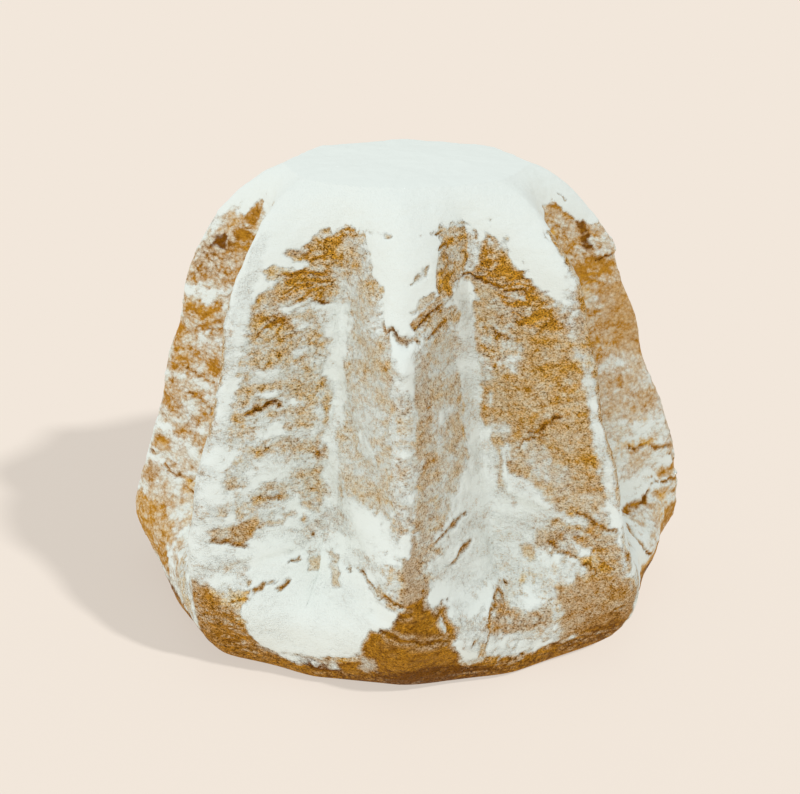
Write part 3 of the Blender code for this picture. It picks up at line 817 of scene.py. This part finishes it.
# %% Cracks
# either side of the tongue's point
crack([(-4.8, 124.8), (-2.4, 123), (-0.3, 122), (1.5, 121.2), (3.2, 120.2), (4.6, 119.6)], 1.3, 1.0,
      0.4, 0.8)
crack([(10, 129.6), (6.8, 126.2), (3.4, 123.8)], 0.8, 1.0, 0.5, 0.95)
crack([(8, 120.5), (11.5, 123.5)], 0.8, 0.8, 0.3)
# at the tongue's right side, higher up
crack([(10.5, 152), (13, 152)], 0.7, 0.7, 0.3)
crack([(10.5, 146.5), (14, 148.5)], 0.8, 0.8, 0.3)
crack([(2.5, 139), (4.5, 140.4), (7, 142)], 1.3, 0.5, 0.2, 0.4, 0.4)
# the left flank
crack([(-39.6, 91.8), (-38, 93.8), (-36.4, 95), (-35, 94.8), (-34, 93.2)], 1.4, 1.4, 1.0, 0.85, 0.9)
crack([(-30, 128.5), (-27, 127.2), (-25, 128)], 0.8, 0.9, 0.5)
crack([(-39.5, 117.5), (-37, 121), (-35, 124)], 0.8, 0.8, 0.5)
crack([(-36, 136.4), (-31, 137.6), (-27, 137)], 0.6, 0.4, 0.3, 0.6, 0.3)
crack([(-33, 134), (-28, 135.4), (-25, 135)], 0.6, 0.4, 0.3, 0.6, 0.3)
crack([(-36, 131.6), (-31, 132.8), (-26, 132.2)], 0.6, 0.4, 0.3, 0.6, 0.3)
crack([(-37, 63), (-32, 63)], 0.8, 0.8, 0.5)
crack([(-42.5, 50), (-40, 48.6), (-37, 47.5)], 0.9, 0.9, 0.4)
# the right flank
crack([(20, 136.2), (26, 134.6), (31, 132.4), (37, 131.2)], 0.9, 1.0, 0.5, 0.85)
crack([(29, 117), (33, 112.5)], 0.9, 0.9, 0.3)
crack([(33, 83), (39, 90)], 0.8, 0.8, 0.5, 0.85)
crack([(30, 78), (36, 84)], 0.6, 0.5, 0.3, 0.8)
crack([(37.5, 58), (43, 50)], 0.9, 0.9, 0.5)
crack([(33.4, 45.6), (34.6, 44.6)], 1.1, 1.0, 0.2)
crack([(34.5, 42.5), (37.5, 40.5)], 0.7, 0.8, 0.3)
crack([(37.5, 39), (39, 38.5), (39.5, 35.5)], 0.7, 0.8, 0.3)
crack([(40.5, 22), (43, 24)], 0.7, 0.7, 0.3)
# the right valley
crack([(6, 56), (9.5, 58), (14, 60)], 0.8, 0.8, 0.6)
crack([(10, 46), (12, 48.5), (15, 50)], 0.8, 0.8, 0.5)
# the feet
crack([(-30, 39.5), (-28.5, 42.5)], 0.7, 0.8, 0.4)
crack([(-26.4, 49), (-25.6, 49)], 0.9, 0.8, 0.2)
crack([(-30.6, 32.8), (-29, 32.8)], 0.9, 0.8, 0.3, 0.6)
crack([(-12.8, 43), (-12.2, 43)], 0.8, 0.8, 0.2)
crack([(20.7, 29.5), (21.3, 29.5)], 0.8, 0.8, 0.2)
crack([(23.2, 32.5), (23.8, 32.5)], 0.8, 0.8, 0.2)
crack([(-38, 30.5), (-35, 31), (-33, 33.5), (-31.5, 34.5)], 0.7, 0.6, 0.4, 0.5, 0.5)
crack([(-10.5, 45), (-7.5, 41.5), (-5.2, 39.5), (-3, 40), (-0.5, 40)], 0.8, 0.9, 0.7)
crack([(-5.5, 29.5), (-3, 28.5), (1.2, 26.5), (6.5, 23.5)], 0.8, 0.8, 0.5, 0.7)
crack([(-1, 36), (1, 36)], 0.7, 0.7, 0.3, 0.7)
crack([(15, 17), (16, 21), (16.2, 25), (18, 28.5), (20.5, 30.5)], 0.7, 0.7, 0.4, 0.6, 0.5)
crack([(12, 21), (13.5, 22)], 0.7, 0.7, 0.2)
crack([(-0.8, 63), (-0.2, 63)], 0.8, 0.7, 0.2)
# the left face
crack([(-84, 104.5), (-80, 104)], 0.8, 0.8, 0.4)
crack([(-84, 87), (-80, 85.6), (-76.5, 84)], 0.8, 0.9, 0.5)
crack([(-82.5, 78.5), (-80, 78), (-76, 75)], 0.8, 0.8, 0.4)
crack([(-88.5, 50), (-86, 50)], 0.9, 0.9, 0.4)
crack([(-84, 46.5), (-80.5, 45), (-77.5, 45.5), (-75.5, 47)], 1.0, 1.1, 0.7)
crack([(-78, 42), (-75, 41)], 0.8, 0.8, 0.4)
# the right face
crack([(81, 155.5), (83, 153)], 0.7, 0.7, 0.3, 0.6, 0.5)
crack([(84, 130), (90, 130)], 0.9, 1.0, 0.5)
crack([(80, 57.5), (81.5, 55), (83.5, 56), (86, 54), (88.5, 51.5)], 1.0, 1.1, 0.6)
crack([(88, 49), (89, 46)], 0.8, 0.8, 0.3)
crack([(82.5, 43.5), (83.5, 40), (86, 39.5), (90, 38.5)], 1.0, 1.1, 0.9)
crack([(83, 39), (79, 36), (76, 35), (73, 34)], 1.1, 1.2, 0.7)
crack([(70, 31), (67.5, 27), (70, 20), (74, 16)], 0.9, 0.9, 0.5)
print("relief of patches and cracks:", round(float(relief.min()), 2), round(float(relief.max()), 2))

# %% [markdown]
# ## Fine relief
# The crust is scaly: low shingles a few millimetres tall whose lower edges curl out, with
# fine wrinkles between them. Where sugar lies thick it fills all that in and leaves a soft
# lumpy surface of its own. The scales are a sawtooth that runs up the side, bent by noise,
# which gives each one a sharp lower edge without any modelling by hand.

# %% Scales and lumps
SCALE_TALL = 4.4         # mm from one row of scales to the next
SCALE_RISE = 0.6         # mm that a scale's lower edge stands proud
LUMP_RISE = 0.45


def sawtooth(phase):
    """Rises fast from 0 to 1 and falls back slowly: one scale for each turn."""
    part = phase - np.floor(phase)
    return np.where(part < 0.2, part / 0.2, (1 - part) / 0.8)


def lumpy(size, seed, flat=1.0):
    """Rounded lumps parted by sharp creases, from 0 in a crease to about 1 on a lump."""
    return np.abs(rough(size, seed, layers=1, flat=flat)) + 0.5 * np.abs(
        rough(size / 2, seed + 1, layers=1, flat=flat))


scale_phase = HEIGHT / SCALE_TALL + 2.0 * rough(20.0, 51, layers=3, flat=0.8)
scale_strength = eased(-0.35, 0.45, rough(13.0, 61, layers=3, flat=0.5))
scales = sawtooth(scale_phase) * scale_strength * rugged
lumps = lumpy(8.0, 71, 0.62) * (0.3 + 0.7 * rugged)
print("scales cover", f"{(scale_strength > 0.5).mean():.0%}", "of the side")

# %% Powder and the dressed side
POWDER_THICK = 0.7       # mm of sugar where it lies thick
LEFT_WHERE_BURIED = 0.18 # share of the scales and lumps that still shows through it
RIM_SMOOTH = 12.0        # mm below the rim over which the crust turns smooth
FOOT_SMOOTH = 10.0       # mm above the base over which the relief grows
buried = eased(0.60, 0.98, sugar)
below_rim = eased(0.0, RIM_SMOOTH, RIM_HEIGHT - HEIGHT)
fine = (SCALE_RISE * scales + LUMP_RISE * lumps) * (1 - (1 - LEFT_WHERE_BURIED) * buried)
fine = fine * (0.15 + 0.85 * below_rim)
powder = POWDER_THICK * buried * (0.6 + 0.5 * rough(9.0, 91, layers=4) + 0.2 * rough(3.0, 95, layers=2))
lift = relief + fine + powder - SCALE_RISE * 0.4
lift *= eased(0.0, FOOT_SMOOTH, HEIGHT)
SIDE = FORM + FORM_NORMAL * lift[..., None] + away_from_axis * rounding[..., None]
SIDE[0] = SMOOTH[0]
print("fine relief:", round(float(fine.min()), 2), "to", round(float(fine.max()), 2), "mm")

# %% [markdown]
# Powder settles on what faces up and keeps out of the dips. The toast field gets painted
# shade in the dips and is painted lighter on what faces up. So the relief just made
# corrects both fields, and noise breaks up what is only half covered.

# %% Sugar and painted shade follow the relief
DIP_WIDTH = 10           # grid steps over which a dip is told from a slope


def blurred(field, steps):
    """The field with its detail of less than a few grid steps taken out."""
    for _ in range(steps):
        field = (np.roll(field, 1, axis=1) + np.roll(field, -1, axis=1) + 2 * field) / 4
        padded = np.concatenate((field[:1], field, field[-1:]))
        field = (padded[:-2] + padded[2:] + 2 * field) / 4
    return field


sunk = blurred(lift, DIP_WIDTH) - lift
facing_up = outward(SIDE)[..., 2] - blurred(FORM_NORMAL[..., 2], 2)
half_covered = 4 * sugar * (1 - sugar)
mottle = (0.2 + 0.8 * rugged) * (0.55 * rough(16.0, 101, layers=4, flat=0.5) + 0.2 * FRAY_FINE)
sugar += half_covered * mottle
sugar += (1 - buried) * (0.55 * facing_up - 0.45 * sunk)
sugar = np.clip(sugar, 0.0, 1.0)
# painted shade: toast rises in the dips and falls where the crust faces up
toast_and_shade = np.clip(toast_and_shade + 0.4 * np.clip(sunk, 0, 1) - 0.2 * facing_up * (1 - buried), 0.0, DARKEST)
print("share of the side under sugar at last:", round(float((sugar > 0.5).mean()), 2))

# %% [markdown]
# ## The mesh
# The side is a closed band of quads. The top and the flat base close it: rings that shrink
# towards the middle and halve their number of points as they go, so that no face turns into
# a sliver. The painted fields are stored on the points as attributes, and with them a
# fourth, `gritty`, because the side faces are smoother to the eye than the front.

# %% Rings that halve
TOP_CROWN = 1.6          # the middle of the top stands this much above its rim
TOP_UNEVENNESS = 0.5
TOP_STEP = 0.8           # mm from one ring of the top to the next
BASE_STEP = 6.0
TOP_LUMPS = 0.45         # mm that the powder on the top is lumpy
LAST_RING = 16           # points of the ring round the middle point


def top_height(x, y, rim_height, share_in):
    """Height of the sugared top, from the rim (0) to the middle (1)."""
    keep = 1 - share_in
    middle = RIM_HEIGHT + TOP_CROWN
    crown = rim_height * keep ** 2 + middle * (1 - keep ** 2)
    uneven = TOP_UNEVENNESS * np.sin(x / 11.0 + 0.6) * np.cos(y / 9.0 - 0.8)
    return crown + uneven * np.minimum(1.0, 3 * share_in)


def cap(ring, step, height_at):
    """Rings inside a ring: a list of point arrays, and the last, single point."""
    radius = np.hypot(ring[:, 0], ring[:, 1]).mean()
    steps = int(round(radius / step))
    rings = []
    points = ring
    for i in range(1, steps):
        keep = 1 - i / steps
        spacing = math.tau * radius * keep / len(points)
        if spacing < step * 0.6 and len(points) > LAST_RING:
            ring = ring[::2]
            points = points[::2]
        points = np.stack((
            ring[:, 0] * keep, ring[:, 1] * keep,
            height_at(ring[:, 0] * keep, ring[:, 1] * keep, ring[:, 2], 1 - keep),
        ), axis=-1)
        rings.append(points)
    middle = height_at(np.zeros(1), np.zeros(1), np.array([RIM_HEIGHT]), 1.0)
    return rings, np.array((0.0, 0.0, float(np.atleast_1d(middle)[0])))


def sugared_top(x, y, rim_height, share_in):
    """The smooth crown with the soft lumps of powder on it."""
    plain = top_height(x, y, rim_height, share_in)
    spot = np.stack((x, y, np.zeros_like(x)), axis=-1)
    lumps = noise(spot / 9.0, 92) + 0.5 * noise(spot / 4.5, 93) + 0.3 * noise(spot / 2.2, 94)
    return plain + TOP_LUMPS * lumps * np.minimum(1.0, 4 * share_in)


def flat_base(x, y, rim_height, share_in):
    """The loaf stands on it, so every point is at height 0."""
    return np.zeros_like(x)


TOP_RINGS, TOP_MIDDLE = cap(SIDE[-1], TOP_STEP, sugared_top)
BASE_RINGS, BASE_MIDDLE = cap(SIDE[0], BASE_STEP, flat_base)
print(len(TOP_RINGS), "rings on the top,", len(BASE_RINGS), "on the base")

# %% Bands of faces
def band(lower, upper, flip=False):
    """Faces between two rings of point numbers; the upper may have half as many."""
    count = len(lower)
    faces = []
    if len(upper) == count:
        after = np.roll(np.arange(count), -1)
        faces = np.stack((lower, lower[after], upper[after], upper), axis=-1).tolist()
    else:
        for i in range(len(upper)):
            j = (i + 1) % len(upper)
            a, b, c = lower[2 * i], lower[2 * i + 1], lower[(2 * i + 2) % count]
            faces += [[a, b, upper[i]], [b, upper[j], upper[i]], [b, c, upper[j]]]
    return [face[::-1] for face in faces] if flip else faces


def numbered(rings, start):
    """Point numbers for each ring, one after another."""
    numbers = []
    for ring in rings:
        numbers.append(np.arange(start, start + len(ring)))
        start += len(ring)
    return numbers


print("a band between two rings of four has", len(band(np.arange(4), np.arange(4, 8))), "faces")

# %% Points and faces
all_rings = list(SIDE) + TOP_RINGS + BASE_RINGS
numbers = numbered(all_rings, 0)
side_ids = numbers[:ROWS + 1]
top_ids = numbers[ROWS + 1:ROWS + 1 + len(TOP_RINGS)]
base_ids = numbers[ROWS + 1 + len(TOP_RINGS):]
points = np.concatenate(all_rings + [TOP_MIDDLE[None], BASE_MIDDLE[None]])
top_id, base_id = len(points) - 2, len(points) - 1

faces = []
for lower, upper in zip(side_ids, side_ids[1:]):
    faces += band(lower, upper)
side_faces = len(faces)
for lower, upper in zip([side_ids[-1]] + top_ids, top_ids):
    faces += band(lower, upper)
last = top_ids[-1]
faces += [[last[i], last[(i + 1) % len(last)], top_id] for i in range(len(last))]
top_faces = len(faces)
for outer, inner in zip([side_ids[0]] + base_ids, base_ids):
    faces += band(outer, inner, flip=True)
last = base_ids[-1]
faces += [[last[(i + 1) % len(last)], last[i], base_id] for i in range(len(last))]
print(len(points), "points and", len(faces), "faces")

# %% [markdown]
# The solid model was centred on its own box, seen from above. The same is done here from
# the frame's box, so that the dressed loaf stands exactly where the solid one does.

# %% The loaf and its painted fields
SIDE_SMOOTHER = 0.8      # share of the grit that the side faces lack
low, high = SIDE.min(axis=(0, 1)), SIDE.max(axis=(0, 1))
box_middle = np.array((NODE_LOW + NODE_HIGH) / 2) / MM
to_place = np.array((*(box_middle - (low + high) / 2)[:2], 0.0))
skin = bpy.data.meshes.new("pandoro_loaf")
skin.from_pydata(((points + to_place) * MM).tolist(), [], faces)
skin.update()


def store(name, side_values, top_value, base_value):
    """Store one painted field on the points of the mesh."""
    values = np.concatenate((
        side_values.ravel(),
        np.full(sum(len(ring) for ring in TOP_RINGS), top_value),
        np.full(sum(len(ring) for ring in BASE_RINGS), base_value),
        (top_value, base_value),
    ))
    attribute = skin.attributes.new(name, "FLOAT", "POINT")
    attribute.data.foreach_set("value", values.astype(np.float32))


store("sugar", sugar, 1.0, 0.0)
store("toast_and_shade", toast_and_shade, 0.3, 0.7)
store("rugged", rugged, 0.0, 0.2)
store("gritty", 1 - SIDE_SMOOTHER * eased(55.0, 70.0, np.abs(SIGNED)), 0.4, 0.4)
skin.shade_smooth()
loaf = bpy.data.objects.new("pandoro_loaf", skin)
bpy.context.scene.collection.objects.link(loaf)
print("moved by", np.round(to_place, 2), "mm to stand on the frame's box")

# %% [markdown]
# ### A map for baking
# A renderer that knows only pictures needs the material laid out flat. The side unrolls to
# one wide strip, and the top and the base are two discs under it.

# %% Unrolled map
STRIP_LOW = 0.40         # the strip takes the map from here up
DISC_RADIUS = 0.19
TOP_DISC = (0.25, 0.20)
BASE_DISC = (0.75, 0.20)
EDGE = 0.002             # kept clear round the strip

loop_point = np.empty(len(skin.loops), dtype=np.int64)
skin.loops.foreach_get("vertex_index", loop_point)
face_start = np.empty(len(skin.polygons), dtype=np.int64)
skin.polygons.foreach_get("loop_start", face_start)
face_of_loop = np.searchsorted(face_start, np.arange(len(loop_point)), side="right") - 1
unrolled = np.empty((len(loop_point), 2))

on_side = face_of_loop < side_faces
ids = loop_point[on_side]
column = (ids % COLUMNS).astype(float)
first_column = loop_point[face_start[face_of_loop[on_side]]] % COLUMNS
column[(first_column == COLUMNS - 1) & (column == 0)] = COLUMNS
unrolled[on_side, 0] = EDGE + column / COLUMNS * (1 - 2 * EDGE)
unrolled[on_side, 1] = STRIP_LOW + ids // COLUMNS / ROWS * (1 - STRIP_LOW - EDGE)
for chosen, centre, widest in (
    ((face_of_loop >= side_faces) & (face_of_loop < top_faces), TOP_DISC, SIDE[-1]),
    (face_of_loop >= top_faces, BASE_DISC, SIDE[0]),
):
    flat = points[loop_point[chosen]][:, :2]
    reach = np.hypot(widest[:, 0], widest[:, 1]).max()
    unrolled[chosen] = np.array(centre) + flat / reach * DISC_RADIUS
bake_map = skin.uv_layers.new(name="OFBake")
bake_map.data.foreach_set("uv", unrolled.astype(np.float32).ravel())
print("map spans", unrolled.min(axis=0).round(3), "to", unrolled.max(axis=0).round(3))

# %% [markdown]
# ## Shader maths
# A material is easier to read as sums and products than as a web of nodes. `Wire` wraps one
# socket, and each operator adds the Math node that does its work. `Constant` stands in for
# a plain number on the left of a minus sign.

# %% The wrapper
class Wire:
    """One output socket of a node tree, with arithmetic."""

    def __init__(self, tree, socket):
        self.tree = tree
        self.socket = socket

    def maths(self, operation, *others):
        node = self.tree.nodes.new("ShaderNodeMath")
        node.operation = operation
        for slot, value in zip(node.inputs, (self,) + others):
            plug(self.tree, slot, value)
        return Wire(self.tree, node.outputs[0])

    def __add__(self, other):
        return self.maths("ADD", other)

    def __sub__(self, other):
        return self.maths("SUBTRACT", other)

    def __rsub__(self, other):
        return Wire.maths(Constant(self.tree, other), "SUBTRACT", self)

    def __mul__(self, other):
        return self.maths("MULTIPLY", other)

    __radd__ = __add__
    __rmul__ = __mul__

    def eased(self, low, high):
        """0 below low, 1 above high, smooth between."""
        return node(self.tree, "ShaderNodeMapRange", "Result", interpolation_type="SMOOTHSTEP",
                    Value=self, From_Min=low, From_Max=high)


class Constant(Wire):
    """A plain number that stands on the left of an operator."""

    def __init__(self, tree, number):
        self.tree = tree
        self.socket = number


print("a wire knows", [name for name in vars(Wire) if name != "__init__" and callable(getattr(Wire, name))])

# %% Adding nodes
def plug(tree, slot, value):
    """Link a wire to an input, or set a plain value on it."""
    if isinstance(value, Constant):
        slot.default_value = value.socket
    elif isinstance(value, Wire):
        tree.links.new(value.socket, slot)
    else:
        slot.default_value = value


def node(tree, kind, output, **given):
    """Add a node: its settings are set first, then the values or links of its sockets."""
    made = tree.nodes.new(kind)
    sockets = {}
    for name, value in given.items():
        if hasattr(made, name):
            setattr(made, name, value)
        else:
            sockets[name.replace("_", " ")] = value
    for name, value in sockets.items():
        open_slots = [slot for slot in made.inputs if slot.name == name and slot.enabled]
        plug(tree, open_slots[0], value)
    open_outputs = [slot for slot in made.outputs if slot.name == output and slot.enabled]
    return Wire(tree, open_outputs[0])


def colour_mix(tree, factor, first, second):
    """The first colour at factor 0, the second at 1."""
    return node(tree, "ShaderNodeMix", "Result", data_type="RGBA", Factor=factor, A=first, B=second)


print("helpers ready:", plug.__name__, node.__name__, colour_mix.__name__)

# %% Colours
def linear(red, green, blue):
    """A colour given as eye-level values from 0 to 255, as the shader wants it."""
    values = [part / 255 for part in (red, green, blue)]
    straight = [part / 12.92 if part <= 0.04045 else ((part + 0.055) / 1.055) ** 2.4 for part in values]
    return (*straight, 1.0)


print("middle grey as the shader holds it:", round(linear(128, 128, 128)[0], 3))

# %% [markdown]
# ## Sugared crust
# One material covers the loaf. Three textures decide, point by point, whether powder or
# crust shows: mottling a few millimetres wide, pebbles of crust that stand out of the
# powder, and a fine grit. Where the `sugar` field is high nearly everything is white, and
# where it is low only a few spots are, which is how a dusting looks close up. The crust goes
# from pale gold to dark brown with the toast field, which carries painted shade as well, and
# is painted darker in the creases between pebbles. The same pebbles and grit paint shade into
# the pits and lighter tops onto the grains, and drive a slight bump, so that painted shading
# and the bump agree. The finish is dull, as powder is.

# %% Colours and sizes of the crust
CRUST_PALE = linear(240, 204, 130)
CRUST_GOLD = linear(226, 174, 68)
CRUST_BROWN = linear(188, 132, 36)
CRUST_DARK = linear(124, 76, 6)
SUGAR_WHITE = linear(236, 244, 239)
SUGAR_THIN = linear(226, 226, 210)
PEBBLE_SIZE = 1.8        # mm
PEBBLE_MEAN = 0.79       # of the distance between pebbles, so that they add as much as they take
MOTTLE_SIZE = 5.0
GRIT_SIZE = 0.6
FLATTENING = 1.35        # the textures' lumps are this much wider than tall
ALL_POWDER = 0.75        # cover at which powder hides the crust
BUMP_REACH = 0.0006      # metres from the bump's pits to its crests
print("pebbles of", PEBBLE_SIZE, "mm, mottling of", MOTTLE_SIZE, "mm and grit of", GRIT_SIZE, "mm")

# %% The textures
crust = bpy.data.materials.new("sugared_crust")
crust.use_nodes = True
tree = crust.node_tree
surface = tree.nodes["Principled BSDF"]
place = node(tree, "ShaderNodeTexCoord", "Object")
flattened = node(tree, "ShaderNodeMapping", "Vector", Vector=place, Scale=(1.0, 1.0, FLATTENING))


def grain(size, detail, roughness):
    """Noise with lumps of about size mm, from 0 to 1."""
    return node(tree, "ShaderNodeTexNoise", "Fac", Vector=flattened, Scale=1 / (size * MM),
                Detail=detail, Roughness=roughness)


cover = node(tree, "ShaderNodeAttribute", "Fac", attribute_name="sugar")
baked_and_shaded = node(tree, "ShaderNodeAttribute", "Fac", attribute_name="toast_and_shade")
scaly = node(tree, "ShaderNodeAttribute", "Fac", attribute_name="rugged")
gritty = node(tree, "ShaderNodeAttribute", "Fac", attribute_name="gritty")
gap = node(tree, "ShaderNodeTexVoronoi", "Distance", Vector=flattened, Scale=1 / (PEBBLE_SIZE * MM),
           Detail=1.0, Roughness=0.5)
pebble = PEBBLE_MEAN - gap
mottle = grain(MOTTLE_SIZE, 4.0, 0.8) - 0.5
grit = (grain(GRIT_SIZE, 1.0, 0.6) - 0.5) * gritty
print(len(tree.nodes), "nodes for the textures")

# %% Powder over crust
partly = (1 - cover.eased(0.78, 0.96)) * cover.eased(0.0, 0.14)
uneven = mottle * (0.7 + scaly * 1.4) + pebble * (0.15 + scaly * 0.3) + grit * 0.6
powder_here = cover + uneven * partly
shows = node(tree, "ShaderNodeMapRange", "Result", Value=powder_here, From_Min=0.0, From_Max=ALL_POWDER)
# painted shade: the crust is darker in the creases between pebbles and lighter on them; the mottle is its
# own uneven tone
bake = baked_and_shaded - mottle * 0.8 - pebble * 0.3
crust_light = colour_mix(tree, bake.eased(0.0, 0.5), CRUST_PALE, CRUST_GOLD)
crust_deep = colour_mix(tree, bake.eased(0.75, 1.2), CRUST_BROWN, CRUST_DARK)
crust_colour = colour_mix(tree, bake.eased(0.25, 0.80), crust_light, crust_deep)
sugar_colour = colour_mix(tree, cover.eased(0.3, 0.9), SUGAR_THIN, SUGAR_WHITE)
colour = colour_mix(tree, shows, crust_colour, sugar_colour)
thick = cover.eased(0.70, 0.95)
bare = 1 - shows
# painted shading of the grains: the colour is darkened in the pits of the grit and pebbles and lightened on
# their tops, most on bare crust
grain_shading_depth = 0.1 + (2.1 + scaly * 1.3) * bare
painted_grain_shading = 1 + (grit * grain_shading_depth + pebble * (0.1 + scaly * gritty * 0.25)) * (1 - thick)
shaded = node(tree, "ShaderNodeVectorMath", "Vector", operation="SCALE", Vector=colour, Scale=painted_grain_shading)
print("colours mixed, with", len(tree.nodes), "nodes")

# %% Finish and bump
plug(tree, surface.inputs["Base Color"], shaded)
plug(tree, surface.inputs["Roughness"], 0.60 + 0.32 * shows)
surface.inputs["Specular IOR Level"].default_value = 0.05

height = pebble * (1 - thick * 0.9) + grit * 1.8 * (1 - thick * 0.8)
bump = node(tree, "ShaderNodeBump", "Normal", Height=height, Strength=1.0, Distance=BUMP_REACH)
plug(tree, surface.inputs["Normal"], bump)
skin.materials.append(crust)
print(len(tree.nodes), "nodes in the sugared crust")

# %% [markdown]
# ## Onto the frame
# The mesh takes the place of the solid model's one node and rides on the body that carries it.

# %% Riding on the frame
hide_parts("pandoro")
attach(loaf, "root")
print(loaf.name, "replaces the solid loaf")

# %% [markdown]
# ## The studio
# A plain pale floor that runs out past every edge of the picture, an even sky and one broad
# soft light from the front left and above. The floor glows a little by itself, as paper lit
# from behind does, so that it stays even. A last light from the right falls on the floor
# alone: it lays the loaf's shadow there and leaves the loaf's own shading as it is.

# %% Floor
FLOOR_REACH = 9.0        # metres from the loaf to the floor's edge
FLOOR_PARTS = 24
FLOOR_DROP = 0.0002      # metres below the loaf's base, so that the two never touch
SKY = 0.76               # brightness of the sky all round
FLOOR_GLOW = 0.68        # share of the floor's brightness that is its own
FLOOR_SHADOW = 0.22      # share that the shadow-making light adds, and the shadow lacks
FLOOR_PALENESS = (1 - FLOOR_GLOW - FLOOR_SHADOW) / SKY
PAPER = linear(242, 231, 219)
floor_mesh = bpy.data.meshes.new("studio_floor")
steps = np.linspace(-FLOOR_REACH, FLOOR_REACH, FLOOR_PARTS + 1)
floor_points = [(x, y, -FLOOR_DROP) for y in steps for x in steps]
floor_faces = []
for row in range(FLOOR_PARTS):
    for col in range(FLOOR_PARTS):
        corner = row * (FLOOR_PARTS + 1) + col
        floor_faces.append((corner, corner + 1, corner + FLOOR_PARTS + 2, corner + FLOOR_PARTS + 1))
floor_mesh.from_pydata(floor_points, [], floor_faces)
floor = bpy.data.objects.new("studio_floor", floor_mesh)
bpy.context.scene.collection.objects.link(floor)
paper = bpy.data.materials.new("studio_paper")
paper.use_nodes = True
paper_tree = paper.node_tree
paper_surface = paper_tree.nodes["Principled BSDF"]
paper_place = node(paper_tree, "ShaderNodeTexCoord", "Object")
fibre = node(paper_tree, "ShaderNodeTexNoise", "Fac", Vector=paper_place, Scale=900.0, Detail=2.0)
lit_paper = [
    tuple(part * FLOOR_PALENESS * tint for part in PAPER[:3]) + (1.0,) for tint in (1.01, 0.99)
]
paper_colour = colour_mix(paper_tree, fibre, *lit_paper)
plug(paper_tree, paper_surface.inputs["Base Color"], paper_colour)
paper_surface.inputs["Roughness"].default_value = 1.0
paper_surface.inputs["Specular IOR Level"].default_value = 0.0
paper_surface.inputs["Emission Color"].default_value = PAPER
paper_surface.inputs["Emission Strength"].default_value = FLOOR_GLOW
floor_mesh.materials.append(paper)
print("the floor runs", FLOOR_REACH, "metres each way and glows by", FLOOR_GLOW)

# %% Lights
KEY = 0.70
KEY_BEARING = -34.0      # where the main light stands, seen from the loaf
KEY_ELEVATION = 50.0
KEY_SPREAD = 25.0        # degrees across, which makes its shadows soft
SHADOW_BEARING = 54.0
SHADOW_ELEVATION = 43.0
SHADOW_SPREAD = 4.0


def sun(name, strength, spread, bearing, elevation):
    """A far light: where it stands as seen from the loaf, and how soft its shadows are."""
    lamp = bpy.data.lights.new(name, "SUN")
    lamp.energy = strength
    lamp.angle = math.radians(spread)
    holder = bpy.data.objects.new(name, lamp)
    turn, climb = math.radians(bearing), math.radians(elevation)
    level = math.cos(climb)
    towards = Vector((math.sin(turn) * level, -math.cos(turn) * level, math.sin(climb)))
    holder.rotation_euler = towards.to_track_quat("Z", "Y").to_euler()
    bpy.context.scene.collection.objects.link(holder)
    return holder


def shine_only_on(holder, thing):
    """Let a light fall on one thing alone."""
    group = bpy.data.collections.new(holder.name + "_falls_on")
    group.objects.link(thing)
    group.collection_objects[0].light_linking.link_state = "INCLUDE"
    holder.light_linking.receiver_collection = group


key = sun("key", KEY, KEY_SPREAD, KEY_BEARING, KEY_ELEVATION)
shine_only_on(key, loaf)
shadow_strength = FLOOR_SHADOW / FLOOR_PALENESS * math.pi / math.sin(math.radians(SHADOW_ELEVATION))
shadow_maker = sun("shadow_maker", shadow_strength, SHADOW_SPREAD, SHADOW_BEARING, SHADOW_ELEVATION)
shine_only_on(shadow_maker, floor)
world = bpy.data.worlds.new("studio_sky")
world.use_nodes = True
sky = world.node_tree.nodes["Background"]
sky.inputs["Color"].default_value = (1.0, 1.0, 1.0, 1.0)
sky.inputs["Strength"].default_value = SKY
bpy.context.scene.world = world
bpy.context.scene.view_settings.view_transform = "Standard"
print("the shadow maker's strength is", round(shadow_strength, 2))

# %% [markdown]
# ### The camera
# It stands half a metre in front of the loaf and a head above it, so that the flutes lean
# together towards the top and the sugared top shows as a thin ellipse.

# %% Camera
LENS = 60.1              # mm
SENSOR_WIDTH = 36.0      # mm
EYE = Vector((0.0, -486.4, 263.5)) + Vector(to_place)
LOOK_DOWN = 21.45        # degrees below the horizon
AXIS_OFF_CENTRE = 5.94   # pixels that the loaf's axis stands right of the middle
PICTURE_WIDTH = 800      # pixels

camera_data = bpy.data.cameras.new("camera")
camera_data.lens = LENS
camera_data.sensor_width = SENSOR_WIDTH
camera_data.shift_x = -AXIS_OFF_CENTRE / PICTURE_WIDTH
camera_data.clip_end = 100.0
camera = bpy.data.objects.new("camera", camera_data)
camera.location = EYE * MM
camera.rotation_euler = (math.radians(90 - LOOK_DOWN), 0.0, 0.0)
bpy.context.scene.collection.objects.link(camera)
bpy.context.scene.camera = camera
print("the eye is", round(EYE.length / 1000, 2), "m from the middle of the base")

# %% [markdown]
